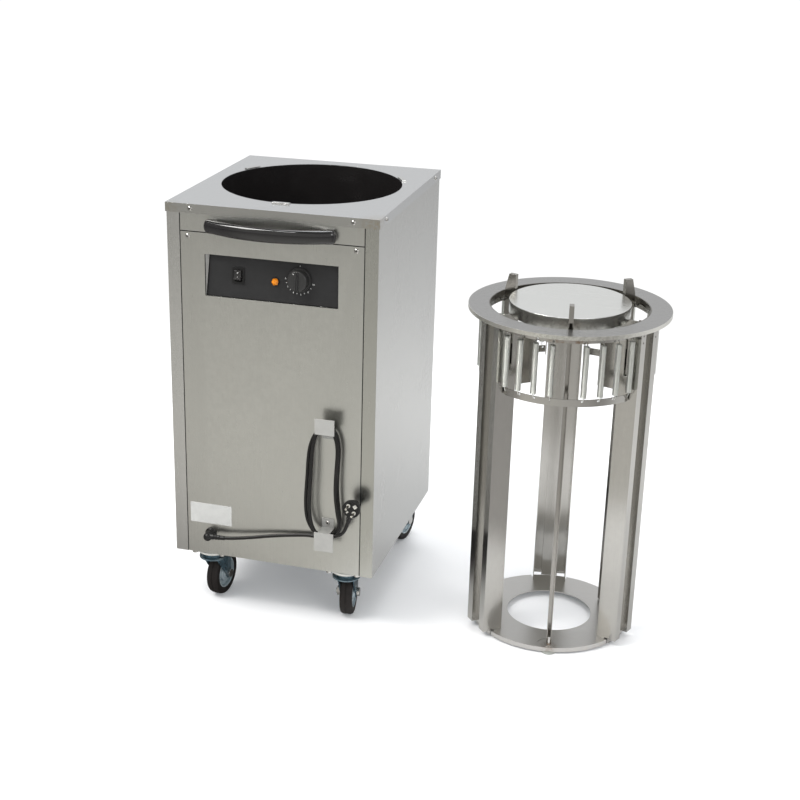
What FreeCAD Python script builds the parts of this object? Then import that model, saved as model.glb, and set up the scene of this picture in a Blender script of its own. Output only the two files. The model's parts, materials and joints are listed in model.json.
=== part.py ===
import FreeCAD, Part
import math
import os
import re
import Sketcher

# A heated plate dispenser cart: a sheet steel cabinet on four swivel casters with a round well,
# and the spring-loaded plate cage that drops into the well, here standing on the floor beside it.
# Millimetres, +Z up, front towards -Y. The origin is the middle of the whole set's footprint.

V = FreeCAD.Vector
doc = FreeCAD.newDocument("PlateDispenserCart")
sheet = doc.addObject("Spreadsheet::Sheet", "Sizes")

DIMENSIONS = {
    # cabinet
    "lidWidth": 447, "lidDepth": 483, "cartHeight": 900, "skirtHeight": 19, "sheet": 1.5,
    "skirtGap": 0.5, "panelFloor": 131, "cornerFace": 28.5, "panelGap": 0.8, "barDrop": 56.5,
    "returnLip": 12, "barFlange": 15, "wellRadius": 190, "wellBack": 17, "wellFloor": 185,
    "wellSheet": 1, "clipLength": 37, "clipWidth": 9, "clipHeight": 2.5, "clipAngle": 30, "clipInset": 1,
    # casters
    "casterInsetX": 68.5, "casterInsetY": 41.5, "casterTrail": 38, "wheelRadius": 50, "rimRadius": 38,
    "tyreWidth": 27, "tyreTread": 17, "tyreEdge": 4, "hubRadius": 13, "hubWeb": 8, "hubStand": 1.5,
    "rimWall": 6, "rimLip": 2, "axleRadius": 6, "axleFit": 0.05, "axleHead": 6, "axleNut": 7,
    "axleSpare": 2, "forkGap": 2, "forkSheet": 2.5, "crownRadius": 30, "legBack": 16, "legHalf": 8,
    "legDrop": 11, "legToe": 6, "plateX": 77, "plateY": 67, "plateThick": 3.5, "kingpinRadius": 6,
    "kingpinEnd": 1, "headRadius": 22, "headHeight": 19, "boltSpanX": 61.5, "boltSpanY": 51.5,
    "boltRadius": 4, "boltFit": 0.2, "panSheet": 2, "panRim": 20, "nutHeight": 6.5, "boltHead": 5,
    "boltSpare": 1, "swivelGap": 0.3,
    "yawFrontLeft": 84, "yawFrontRight": 98, "yawBackLeft": 121, "yawBackRight": 80,
    # handle and screws
    "handleReach": 138, "handleBulge": 46, "handleThick": 13, "handleHeight": 22, "handleDrop": 41,
    "handleBoss": 24, "handleToe": 8, "handleHole": 6, "screwFit": 0.1, "screwSpare": 1,
    "screwRadius": 2.5, "screwHead": 5, "screwHeadHeight": 2.6, "lidScrewInsetX": 51.5,
    "lidScrewInsetY": 44.5, "lidScrewDrop": 9.5, "panelScrewInset": 16.5, "panelScrewDrop": 9.5,
    # controls
    "windowHalf": 140.5, "windowDrop": 100, "windowTall": 87, "frameWall": 2.5, "frameDepth": 16,
    "fasciaLowSet": 3, "fasciaThick": 2, "fasciaTilt": 4.6, "fasciaGap": 0.3, "fasciaTrim": 1,
    "switchX": -71.5, "switchUp": 47, "switchWidth": 22, "switchTall": 30, "switchBezel": 2,
    "switchDepth": 24, "rockerPivot": 3, "rockerRadius": 13, "rockerWidth": 15, "rockerTilt": 12,
    "rockerPin": 1.5, "rockerPinFit": 0.05, "rockerPinReach": 2, "rockerSlot": 22, "rockerTrim": 0.6,
    "rockerDish": 4, "lampX": 7, "lampUp": 42, "lampRadius": 6.5, "lampDepth": 18, "lampStand": 3,
    "lampRim": 1.5, "bezelStand": 1.5, "pointerHalf": 3.5, "pointerTall": 3, "knobX": 58, "knobUp": 50,
    "knobRadius": 24.5, "knobSkirt": 4, "knobGrip": 18.5, "knobHeight": 20, "knobGap": 0.8,
    "spindleRadius": 3, "spindleFit": 0.05, "spindleLength": 16, "thermostatWidth": 42,
    "thermostatDepth": 26,
    # rating plate, cord and its hooks
    "ratingX": -139, "ratingZ": 226.5, "ratingWidth": 94, "ratingTall": 46, "ratingThick": 0.4,
    "glandX": -138, "glandZ": 179, "glandRadius": 12.5, "glandLength": 22, "cordRadius": 3.75,
    "glandFlange": 4, "glandRim": 2, "glandStep": 4.2, "glandTail": 10, "spoutWall": 3, "spoutReach": 5,
    "hookX": 124, "hookLow": 234, "hookSpan": 221, "hookStem": 26, "hookFace": 42, "hookTall": 33,
    "hookDrop": 41, "hookReach": 30, "hookSheet": 2, "hookBase": 20,
    "plugX": 186, "plugZ": 303, "plugRadius": 19, "plugLength": 24, "plugStand": 18.5, "plugStep": 4,
    "bossReach": 36, "bossLean": 74, "bossRadius": 9, "bossRim": 1.5, "pinAcross": 5.98, "pinRise": 7.38,
    "pinRadius": 2.4, "pinLength": 19, "pinNeck": 0.5, "pinShank": 1.8, "pinSocket": 6,
    # heater under the well
    "heaterRadius": 120, "heaterTube": 4, "heaterLeg": 12, "heaterLift": 6,
    # cage
    "insertX": 567, "insertY": -39, "cageHeight": 707, "flangeRadius": 204, "flangeBore": 160,
    "flangeSheet": 2, "flangeRim": 8, "collarDepth": 12, "baseRadius": 166.5, "baseBore": 90,
    "baseTop": 14, "baseSheet": 2, "baseRim": 10, "columnAngle": 100, "columnHalf": 36,
    "columnInner": 137, "columnOuter": 180, "columnLip": 20, "columnSheet": 1.5, "weldHole": 2,
    "weldDrop": 36, "weldPitch": 14, "seat": 0.3, "slitWidth": 3, "slitStart": 154,
    "stripRadius": 168, "stripSheet": 1.5, "hangerDrop": 11, "hangerTall": 15, "springSpan": 130,
    "stripTall": 15, "stripHole": 2, "stripEdge": 4, "springRadius": 174.6, "springCoil": 6.2,
    "springWire": 0.8, "springFirst": 10.7, "springStep": 11, "springLow": 6, "springHigh": 2,
    "hookLoop": 3, "footRadius": 18, "footThick": 4, "footShank": 8, "footInset": 5, "footFit": 0.5,
    "guidePivot": 156, "guideInner": 126, "guideOuter": 150, "guideThick": 9.5, "guideSheet": 1.5,
    "guideRise": 41, "guideSlant": 8, "guideTaper": 32, "guideTab": 2, "guideLift": 3,
    "latchRadius": 2.2, "pivotRadius": 3, "pivotFit": 0.05, "lugDrop": 17, "lugThick": 2,
    "lugRadius": 5.2, "indexRadius": 27, "indexHole": 1.5, "indexStep": 10,
    # carriage
    "platformRadius": 122, "platformLift": 10, "platformRim": 26, "platformSheet": 1.5,
    "armWidth": 30, "armThick": 3, "armReach": 110, "hubDisc": 38, "bracketInner": 88,
    "bracketWide": 41, "cheekInner": 95, "cheekOuter": 150, "cheekDrop": 27, "cheekTall": 121,
    "cheekLap": 5, "tabReach": 163, "tabLap": 8, "tabTall": 51, "shoeHeight": 28, "shoeWall": 5,
    "shoeInset": 2, "shoeFoot": 13, "shoeHead": 8, "shoeGap": 0.3,
}
WORD = re.compile(r"[A-Za-z_]\w*")


def cells(text):
    """Turns an expression written with size names into one that reads them from the sheet."""
    return WORD.sub(lambda m: "Sizes." + m.group(0) if m.group(0) in DIMENSIONS else m.group(0), text)


DERIVED = {
    "bodyHalfX": "lidWidth / 2 - sheet - skirtGap",
    "bodyHalfY": "lidDepth / 2 - sheet - skirtGap",
    "panelHalf": "bodyHalfX - cornerFace",
    "lidUnder": "cartHeight - sheet",
    "lidScrewX": "bodyHalfX - lidScrewInsetX",
    "lidScrewY": "bodyHalfY - lidScrewInsetY",
    "lidScrewZ": "cartHeight - lidScrewDrop",
    "panelTop": "cartHeight - barDrop",
    "panelScrewX": "panelHalf - panelScrewInset",
    "handleLevel": "cartHeight - handleDrop",
    "windowHigh": "cartHeight - windowDrop",
    "windowLow": "windowHigh - windowTall",
    "casterX": "bodyHalfX - casterInsetX",
    "casterY": "bodyHalfY - casterInsetY",
    "hookHigh": "hookLow + hookSpan",
    "plugBack": "bodyHalfY + plugStand",
    # the set reaches from the screw heads on the lid's left to the flange's right edge, and from
    # the front of the handle to the back of the wheel that trails furthest out
    "cartX": "-(insertX + flangeRadius - lidWidth / 2 - screwHeadHeight) / 2",
    "frontReach": "max(bodyHalfY + handleBulge; flangeRadius - insertY)",
    "backReach": "casterY + (casterTrail + wheelRadius) * sin(yawBackRight * 1 deg) + "
                 "tyreTread / 2 * abs(cos(yawBackRight * 1 deg))",
    "cartY": "(frontReach - max(backReach; lidDepth / 2 + screwHeadHeight)) / 2",
    "cageX": "cartX + insertX",
    "cageY": "cartY + insertY",
    "headTop": "panelFloor - plateThick - swivelGap",
    "forkInner": "tyreWidth / 2 + forkGap",
    "webInner": "baseRadius + seat",
    "hangerTop": "cageHeight - hangerDrop",
    "stripTop": "hangerTop - springSpan",
    "lugLevel": "cageHeight - lugDrop",
    "platformTop": "cageHeight + platformLift",
    "cheekTop": "platformTop - cheekDrop",
    "cheekLow": "cheekTop - cheekTall",
    "tabLow": "stripTop - stripTall",
    "tabTop": "tabLow + tabTall",
    "shoeLow": "cheekLow + shoeFoot",
    "shoeHigh": "cheekTop - shoeHeight - shoeHead",
}
CELLS = [(name, str(value)) for name, value in DIMENSIONS.items()]
CELLS += [(name, "=" + rule) for name, rule in DERIVED.items()]
for row, (name, content) in enumerate(CELLS, 1):
    sheet.set("A%d" % row, name)
    sheet.set("B%d" % row, content)
    sheet.setAlias("B%d" % row, name)
DIMENSIONS.update(DERIVED)
doc.recompute()
SIZE = {name: float(getattr(sheet, name)) for name in DIMENSIONS}


def bind(thing, **rules):
    for path, rule in rules.items():
        thing.setExpression(path.replace("_", "."), cells(rule))
    return thing


def move(thing, x="0", y="0", z="0"):
    return bind(thing, Placement_Base_x=x, Placement_Base_y=y, Placement_Base_z=z)


def turn(thing, angle, axis=V(0, 0, 1)):
    thing.Placement = FreeCAD.Placement(thing.Placement.Base, FreeCAD.Rotation(axis, 10))
    return bind(thing, Placement_Rotation_Angle=angle)


def box(x, y, z):
    """A block between two expressions on each axis."""
    block = doc.addObject("Part::Box", "Block")
    bind(block, Length="(%s) - (%s)" % (x[1], x[0]), Width="(%s) - (%s)" % (y[1], y[0]),
         Height="(%s) - (%s)" % (z[1], z[0]))
    return move(block, x[0], y[0], z[0])


def rod(axis, x, y, z, radius, length):
    """A cylinder that starts at the point and runs along +axis."""
    tube = doc.addObject("Part::Cylinder", "Rod")
    rotation = {"x": FreeCAD.Rotation(V(0, 1, 0), 90), "y": FreeCAD.Rotation(V(1, 0, 0), -90),
                "z": FreeCAD.Rotation()}[axis]
    tube.Placement = FreeCAD.Placement(V(), rotation)
    bind(tube, Radius=radius, Height=length)
    return move(tube, x, y, z)


def fuse(*things):
    union = doc.addObject("Part::MultiFuse", "Union")
    union.Shapes = list(things)
    return union


def cut(base, *tools):
    rest = doc.addObject("Part::Cut", "Rest")
    rest.Base = base
    rest.Tool = tools[0] if len(tools) == 1 else fuse(*tools)
    return rest


def group(*things):
    several = doc.addObject("Part::Compound", "Several")
    several.Links = list(things)
    return several


NODES = []


def piece(label, thing, frame="cart"):
    """Names a finished sub-part and moves it from the cart's or the cage's own frame."""
    holder = group(thing) if thing.TypeId != "Part::Compound" else thing
    holder.Label = label
    move(holder, frame + "X", frame + "Y")
    NODES.append(holder)
    return holder


def solidPiece(label, shape, frame="cart"):
    """A sub-part whose shape comes from Part's own functions."""
    feature = doc.addObject("Part::Feature", "Shape")
    feature.Shape = shape
    feature.Label = label
    move(feature, frame + "X", frame + "Y")
    NODES.append(feature)
    return feature


def sketchOn(body, plane, points):
    """A closed outline in a body's origin plane, every corner bound to the sheet."""
    sketch = body.newObject("Sketcher::SketchObject", "Outline")
    support = [f for f in body.Origin.OriginFeatures if f.Role == plane][0]
    sketch.AttachmentSupport = [(support, "")]
    sketch.MapMode = "FlatFace"
    count = len(points)
    start = [V(math.cos(2 * math.pi * i / count) * 50, math.sin(2 * math.pi * i / count) * 50, 0)
             for i in range(count)]
    for i in range(count):
        sketch.addGeometry(Part.LineSegment(start[i], start[(i + 1) % count]), False)
    for i in range(count):
        sketch.addConstraint(Sketcher.Constraint("Coincident", i, 2, (i + 1) % count, 1))
    for i, corner in enumerate(points):
        for kind, rule in zip(("DistanceX", "DistanceY"), corner):
            index = sketch.addConstraint(Sketcher.Constraint(kind, -1, 1, i, 1, 10.0))
            name = "%s%d" % (kind, i)
            sketch.renameConstraint(index, name)
            sketch.setExpression("Constraints." + name, cells(rule))
    return sketch


def padBody(plane, points, length):
    """A body padded from an outline."""
    body = doc.addObject("PartDesign::Body", "Body")
    sketch = sketchOn(body, plane, points)
    pad = body.newObject("PartDesign::Pad", "Pad")
    pad.Profile = sketch
    bind(pad, Length=length)
    return body


def turnedBody(points):
    """A body of revolution about Z from an outline of (radius, height) corners."""
    body = doc.addObject("PartDesign::Body", "Body")
    sketch = sketchOn(body, "XZ_Plane", points)
    spun = body.newObject("PartDesign::Revolution", "Turned")
    spun.Profile = sketch
    spun.ReferenceAxis = (sketch, ["V_Axis"])
    spun.Angle = 360
    return body


SIDES = (("left", -1), ("right", 1))

# ---- lid and cabinet shell ----


def makeLid():
    shell = cut(box(("-lidWidth / 2", "lidWidth / 2"), ("-lidDepth / 2", "lidDepth / 2"),
                    ("cartHeight - skirtHeight", "cartHeight")),
                box(("-lidWidth / 2 + sheet", "lidWidth / 2 - sheet"),
                    ("-lidDepth / 2 + sheet", "lidDepth / 2 - sheet"),
                    ("cartHeight - skirtHeight - 1", "lidUnder")),
                rod("z", "0", "wellBack", "lidUnder - 1", "wellRadius", "sheet + 2"), *lidScrewHoles())
    piece("lid", shell)
    clips = []
    for i in range(3):
        clip = box(("wellRadius + clipInset", "wellRadius + clipInset + clipWidth"),
                   ("-clipLength / 2", "clipLength / 2"), ("0", "clipHeight"))
        holder = group(clip)
        turn(holder, "clipAngle + %d" % (120 * i))
        clips.append(holder)
    clipGroup = group(*clips)
    clipGroup.Label = "well_clips"
    move(clipGroup, "cartX", "cartY + wellBack", "cartHeight")
    NODES.append(clipGroup)


def lidScrewHoles():
    """Screw holes through the skirt and the body skin behind it."""
    holes = []
    reach = "sheet + skirtGap + sheet + 2"
    for side in ("-", ""):
        holes.append(rod("y", side + "lidScrewX", "-lidDepth / 2 - 1", "lidScrewZ", "screwRadius", reach))
        holes.append(rod("y", side + "lidScrewX", "lidDepth / 2 + 1 - (%s)" % reach, "lidScrewZ",
                         "screwRadius", reach))
        holes.append(rod("x", "lidWidth / 2 + 1 - (%s)" % reach, side + "lidScrewY", "lidScrewZ",
                         "screwRadius", reach))
        holes.append(rod("x", "-lidWidth / 2 - 1", side + "lidScrewY", "lidScrewZ", "screwRadius", reach))
    return holes


def makeSide(name, sign):
    """A side panel with a return and an inner lip at the front and the back."""
    outer, inner = "%d * bodyHalfX" % sign, "%d * (bodyHalfX - sheet)" % sign
    edge = "%d * (panelHalf + panelGap)" % sign
    lip = "%d * (panelHalf + panelGap + sheet)" % sign

    def span(a, b):
        return (a, b) if sign > 0 else (b, a)

    height = ("panelFloor", "lidUnder")
    parts = [box(span(inner, outer), ("-bodyHalfY", "bodyHalfY"), height)]
    for front in (True, False):
        skin = ("-bodyHalfY", "-bodyHalfY + sheet") if front else ("bodyHalfY - sheet", "bodyHalfY")
        fold = ("-bodyHalfY", "-bodyHalfY + returnLip") if front else ("bodyHalfY - returnLip", "bodyHalfY")
        parts.append(box(span(edge, outer), skin, height))
        parts.append(box(span(edge, lip), fold, height))
    piece("side_panel_" + name, cut(fuse(*parts), *lidScrewHoles()))


def makeBack():
    plate = box(("-panelHalf", "panelHalf"), ("bodyHalfY - sheet", "bodyHalfY"),
                ("panelFloor + panelGap", "lidUnder"))
    piece("back_panel", cut(plate, *lidScrewHoles()))


def makeCrossbar():
    low = "panelTop + panelGap"
    skin = box(("-panelHalf", "panelHalf"), ("-bodyHalfY", "-bodyHalfY + sheet"), (low, "lidUnder"))
    fold = box(("-panelHalf", "panelHalf"), ("-bodyHalfY", "-bodyHalfY + barFlange"), (low, low + " + sheet"))
    holes = [rod("y", side + "(handleReach - handleBoss / 2)", "-bodyHalfY - 1", "handleLevel",
                 "screwRadius", "sheet + 2") for side in ("-", "")]
    piece("crossbar", cut(fuse(skin, fold), *(holes + lidScrewHoles())))


def makeFrontPanel():
    skin = ("-bodyHalfY", "-bodyHalfY + sheet")
    fold = ("-bodyHalfY", "-bodyHalfY + returnLip")
    width = ("-panelHalf", "panelHalf")
    low = "panelFloor + panelGap"
    pan = fuse(box(width, skin, (low, "panelTop")),
               box(width, fold, ("panelTop - sheet", "panelTop")),
               box(("-panelHalf", "-panelHalf + sheet"), fold, (low, "panelTop")),
               box(("panelHalf - sheet", "panelHalf"), fold, (low, "panelTop")))
    through = "-bodyHalfY - 1"
    depth = "sheet + 2"
    holes = [box(("-windowHalf", "windowHalf"), (through, "-bodyHalfY + sheet + 1"),
                 ("windowLow", "windowHigh")),
             rod("y", "glandX", through, "glandZ", "glandRadius - glandStep + boltFit", depth),
             rod("y", "hookX", through, "hookLow + hookBase / 2 + hookSheet", "screwRadius", depth),
             rod("y", "hookX", through, "hookHigh - hookBase / 2", "screwRadius", depth)]
    for side in ("-", ""):
        holes.append(rod("y", side + "panelScrewX", through, "panelTop - panelScrewDrop", "screwRadius",
                         depth))
    piece("front_panel", cut(pan, *holes))


def screwAt(axis, sign, x, y, z):
    """A pan-head screw whose head sits on a face and whose shank runs along sign * axis."""
    tail = "sheet + skirtGap + sheet + screwSpare"
    face = x if axis == "x" else y

    def along(start, radius, length):
        return rod(axis, start if axis == "x" else x, start if axis == "y" else y, z, radius, length)

    head = along("(%s) - screwHeadHeight" % face if sign > 0 else face, "screwHead", "screwHeadHeight")
    shank = along(face if sign > 0 else "(%s) - (%s)" % (face, tail), "screwRadius - screwFit", tail)
    return fuse(head, shank)


def makeScrews():
    screws = []
    for side in ("-", ""):
        screws.append(screwAt("y", 1, side + "lidScrewX", "-lidDepth / 2", "lidScrewZ"))
        screws.append(screwAt("y", -1, side + "lidScrewX", "lidDepth / 2", "lidScrewZ"))
        screws.append(screwAt("x", -1, "lidWidth / 2", side + "lidScrewY", "lidScrewZ"))
        screws.append(screwAt("x", 1, "-lidWidth / 2", side + "lidScrewY", "lidScrewZ"))
        screws.append(screwAt("y", 1, side + "panelScrewX", "-bodyHalfY", "panelTop - panelScrewDrop"))
        screws.append(screwAt("y", -1, side + "(handleReach - handleBoss / 2)", "-bodyHalfY + sheet",
                              "handleLevel"))
    hookFront = "-bodyHalfY - hookSheet"
    screws.append(screwAt("y", 1, "hookX", hookFront, "hookLow + hookBase / 2 + hookSheet"))
    screws.append(screwAt("y", 1, "hookX", hookFront, "hookHigh - hookBase / 2"))
    piece("panel_screws", group(*screws))


def makeFloorPan():
    """The bottom plate, notched round the corner posts, with a rim along each side."""
    wide, deep = "bodyHalfX - sheet", "bodyHalfY - sheet"
    notch = "bodyHalfY - returnLip - seat"
    high = ("panelFloor", "panelFloor + panSheet")
    plate = fuse(box(("-(%s)" % wide, wide), ("-(%s)" % notch, notch), high),
                 box(("-panelHalf + 2 * sheet", "panelHalf - 2 * sheet"), ("-(%s)" % deep, deep), high))
    rims = [box((inner, outer), ("-(%s)" % notch, notch), ("panelFloor", "panelFloor + panRim"))
            for inner, outer in (("-(%s)" % wide, "-(%s) + panSheet" % wide), (wide + " - panSheet", wide))]
    piece("floor_pan", cut(fuse(plate, *rims), *casterBoltHoles("panelFloor - 1", "panSheet + 2")))


def casterBoltHoles(z, length):
    holes = []
    for sx in ("-", ""):
        for sy in ("-", ""):
            for bx in ("-", "+"):
                for by in ("-", "+"):
                    holes.append(rod("z", "%scasterX %s boltSpanX / 2" % (sx, bx),
                                     "%scasterY %s boltSpanY / 2" % (sy, by), z, "boltRadius + boltFit",
                                     length))
    return holes


# ---- well, heater ----


def makeWell():
    outer = "wellRadius + wellSheet"
    body = turnedBody([("0", "wellFloor - wellSheet"), (outer, "wellFloor - wellSheet"), (outer, "lidUnder"),
                       ("wellRadius", "lidUnder"), ("wellRadius", "wellFloor"), ("0", "wellFloor")])
    holder = group(body)
    move(holder, "0", "wellBack")
    piece("well_liner", group(holder))
    ring = doc.addObject("Part::Torus", "Ring")
    bind(ring, Radius1="heaterRadius", Radius2="heaterTube")
    move(ring, "0", "wellBack", "wellFloor - wellSheet - heaterTube")
    ends = [rod("z", side + "heaterLeg", "wellBack - heaterRadius", "panelFloor + heaterLift", "heaterTube",
                "wellFloor - wellSheet - heaterTube - panelFloor - heaterLift") for side in ("-", "")]
    piece("heating_element", fuse(ring, *ends))


# ---- controls ----


def makeControls():
    behind = "-bodyHalfY + sheet"
    wall = "frameWall"
    frame = cut(box(("-windowHalf - " + wall, "windowHalf + " + wall), (behind, behind + " + frameDepth"),
                    ("windowLow - " + wall, "windowHigh + " + wall)),
                box(("-windowHalf", "windowHalf"), (behind + " - 1", behind + " + frameDepth + 1"),
                    ("windowLow", "windowHigh")))
    piece("control_frame", frame)
    # everything on the fascia is built upright from its lower edge and then leaned back with it
    width = "switchWidth / 2"
    tall = "switchTall / 2"
    plate = cut(box(("-windowHalf + fasciaGap", "windowHalf - fasciaGap"), ("0", "fasciaThick"),
                    ("fasciaTrim", "windowTall - fasciaTrim")),
                box(("switchX - " + width, "switchX + " + width), ("-1", "fasciaThick + 1"),
                    ("switchUp - " + tall, "switchUp + " + tall)),
                rod("y", "lampX", "-1", "lampUp", "lampRadius", "fasciaThick + 2"),
                rod("y", "knobX", "-1", "knobUp", "spindleRadius + 1", "fasciaThick + 2"))
    lean("control_fascia", plate)

    def across(x, z, y):
        """A block centred on the switch, with half sizes x and z."""
        return box(("switchX - (%s)" % x, "switchX + " + x), y, ("switchUp - (%s)" % z, "switchUp + " + z))

    bezel = across(width + " + switchBezel", tall + " + switchBezel", ("-bezelStand", "0"))
    barrel = across(width + " - fasciaGap", tall + " - fasciaGap", ("0", "switchDepth"))
    pocket = across("rockerWidth / 2 + fasciaGap", "rockerSlot / 2 + 1",
                    ("-bezelStand - 1", "rockerPivot + rockerRadius + fasciaGap"))
    reach = "rockerPinReach + fasciaGap"
    pinHole = rod("x", "switchX - rockerWidth / 2 - " + reach.replace("+", "-"), "rockerPivot", "switchUp",
                  "rockerPin + rockerPinFit", "rockerWidth + 2 * (%s)" % reach)
    housing = cut(fuse(bezel, barrel), pocket, pinHole)
    lean("switch_housing", housing)
    makeRocker()
    lens = fuse(rod("y", "lampX", "-lampStand", "lampUp", "lampRadius + lampRim", "lampStand"),
                rod("y", "lampX", "0", "lampUp", "lampRadius - fasciaGap", "lampDepth"))
    lean("pilot_lamp", lens)
    makeKnob()
    half = "thermostatWidth / 2"
    thermostat = cut(box(("knobX - " + half, "knobX + " + half),
                         ("fasciaThick", "fasciaThick + thermostatDepth"),
                         ("knobUp - " + half, "knobUp + " + half)),
                     rod("y", "knobX", "fasciaThick - 1", "knobUp", "spindleRadius + spindleFit",
                         "spindleLength + 1"))
    lean("thermostat_body", thermostat)


def lean(label, thing):
    """Sets a control on the fascia, which leans back by fasciaTilt about its lower edge."""
    holder = group(thing)
    holder.Label = label
    turn(holder, "-fasciaTilt", V(1, 0, 0))
    move(holder, "cartX", "cartY - bodyHalfY + fasciaLowSet", "windowLow")
    NODES.append(holder)


def makeRocker():
    """A paddle with a concave face that rocks about a pin across the switch."""
    drum = rod("x", "0", "0", "0", "rockerRadius", "rockerWidth")
    keep = box(("-1", "rockerWidth + 1"), ("-rockerRadius - 1", "rockerRadius + 1"),
               ("-rockerSlot / 2 + rockerTrim", "rockerSlot / 2 - rockerTrim"))
    common = doc.addObject("Part::MultiCommon", "Common")
    common.Shapes = [drum, keep]
    dish = rod("x", "-1", "-rockerRadius - rockerSlot + rockerDish", "0", "rockerSlot", "rockerWidth + 2")
    pin = rod("x", "-rockerPinReach", "0", "0", "rockerPin", "rockerWidth + 2 * rockerPinReach")
    paddle = group(fuse(cut(common, dish), pin))
    turn(paddle, "-rockerTilt", V(1, 0, 0))
    move(paddle, "switchX - rockerWidth / 2", "rockerPivot", "switchUp")
    lean("rocker", paddle)


def makeKnob():
    """The skirt with its raised pointer bar, and the spindle that turns in the thermostat."""
    back = "-knobGap"
    skirt = rod("y", "knobX", back + " - knobSkirt", "knobUp", "knobRadius", "knobSkirt")
    grip = rod("y", "knobX", back + " - knobHeight", "knobUp", "knobGrip", "knobHeight - knobSkirt")
    bar = box(("knobX - pointerHalf", "knobX + pointerHalf"),
              (back + " - knobHeight - pointerTall", back + " - knobHeight"),
              ("knobUp - knobGrip + 1", "knobUp + knobGrip - 1"))
    spindle = rod("y", "knobX", back, "knobUp", "spindleRadius", "knobGap + fasciaThick + spindleLength - 1")
    lean("thermostat_knob", fuse(skirt, grip, bar, spindle))


# ---- handle ----


def makeHandle():
    """A bow whose plan is a crescent between two arcs, with a foot at each end on the crossbar."""
    reach, bulge, toe = SIZE["handleReach"], SIZE["handleBulge"], SIZE["handleToe"]
    thick, tall, foot = SIZE["handleThick"], SIZE["handleHeight"], SIZE["handleBoss"]
    face = -SIZE["bodyHalfY"]
    low = SIZE["handleLevel"] - tall / 2

    def point(x, out):
        return V(x, face - out, low)

    outer = Part.Arc(point(-reach, toe), point(0, bulge), point(reach, toe))
    inner = Part.Arc(point(reach - foot, 0), point(0, bulge - thick), point(-reach + foot, 0))
    sides = [Part.LineSegment(point(reach, toe), point(reach, 0)),
             Part.LineSegment(point(reach, 0), point(reach - foot, 0)),
             Part.LineSegment(point(-reach + foot, 0), point(-reach, 0)),
             Part.LineSegment(point(-reach, 0), point(-reach, toe))]
    edges = [outer.toShape(), sides[0].toShape(), sides[1].toShape(), inner.toShape(), sides[2].toShape(),
             sides[3].toShape()]
    bow = Part.Face(Part.Wire(edges)).extrude(V(0, 0, tall))
    # the long edges along the top and the bottom of the bow
    long = [e for e in bow.Edges if e.Length > reach and e.BoundBox.ZLength < 0.01 and e.BoundBox.YLength > 1]
    bow = bow.makeFillet(min(thick, tall) * 0.4, long)
    for side in (-1, 1):
        x = side * (reach - foot / 2)
        hole = V(x, face - SIZE["handleHole"], SIZE["handleLevel"])
        bow = bow.cut(Part.makeCylinder(SIZE["screwRadius"], SIZE["handleHole"], hole, V(0, 1, 0)))
    solidPiece("handle", bow)


# ---- casters ----
CASTERS = (("front_left", "-", "-", "yawFrontLeft"), ("front_right", "", "-", "yawFrontRight"),
           ("back_left", "-", "", "yawBackLeft"), ("back_right", "", "", "yawBackRight"))


def makeCasterPlates():
    plates, bolts = [], []
    for name, sx, sy, yaw in CASTERS:
        x, y = sx + "casterX", sy + "casterY"
        low = "panelFloor - plateThick"
        plate = box((x + " - plateX / 2", x + " + plateX / 2"), (y + " - plateY / 2", y + " + plateY / 2"),
                    (low, "panelFloor"))
        pin = rod("z", x, y, "headTop - headHeight + kingpinEnd", "kingpinRadius",
                  "headHeight - kingpinEnd + swivelGap + plateThick / 2")
        plates.append(cut(fuse(plate, pin), *casterBoltHoles(low + " - 1", "plateThick + 2")))
        for bx in ("-", "+"):
            for by in ("-", "+"):
                px, py = "%s %s boltSpanX / 2" % (x, bx), "%s %s boltSpanY / 2" % (y, by)
                shank = rod("z", px, py, low, "boltRadius", "plateThick + panSheet + nutHeight + boltSpare")
                head = rod("z", px, py, low + " - boltHead", "boltRadius * 1.6", "boltHead")
                nut = rod("z", px, py, "panelFloor + panSheet", "boltRadius * 1.6", "nutHeight")
                bolts.append(fuse(head, shank, nut))
    piece("caster_plates", group(*plates))
    piece("caster_bolts", group(*bolts))


def makeFork():
    """The swivel head and the two legs, trailing along local +X."""
    head = rod("z", "0", "0", "headTop - headHeight", "headRadius", "headHeight")
    crownLow = "headTop - headHeight - forkSheet"
    crown = fuse(rod("z", "0", "0", crownLow, "crownRadius", "forkSheet"),
                 box(("0", "casterTrail + legHalf"), ("-forkInner - forkSheet", "forkInner + forkSheet"),
                     (crownLow, crownLow + " + forkSheet")))
    legs = []
    for side in ("-", ""):
        foot = "wheelRadius - legDrop"
        body = padBody("XZ_Plane", [("-legBack", crownLow), ("-legBack", crownLow + " + forkSheet"),
                                    ("casterTrail + legHalf", crownLow + " + forkSheet"),
                                    ("casterTrail + legDrop", "wheelRadius"), ("casterTrail + legToe", foot),
                                    ("casterTrail - legToe", foot), ("casterTrail - legDrop", "wheelRadius")],
                       "forkSheet")
        holder = group(body)
        move(holder, "0", "forkInner + forkSheet" if side == "" else "-forkInner")
        legs.append(holder)
    solid = fuse(head, crown, *legs)
    return cut(solid, rod("z", "0", "0", crownLow + " - 1", "kingpinRadius + axleFit",
                          "headHeight + forkSheet + 2"),
               rod("y", "casterTrail", "-forkInner - forkSheet - 1", "wheelRadius", "axleRadius",
                   "2 * forkInner + 2 * forkSheet + 2"))


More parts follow.
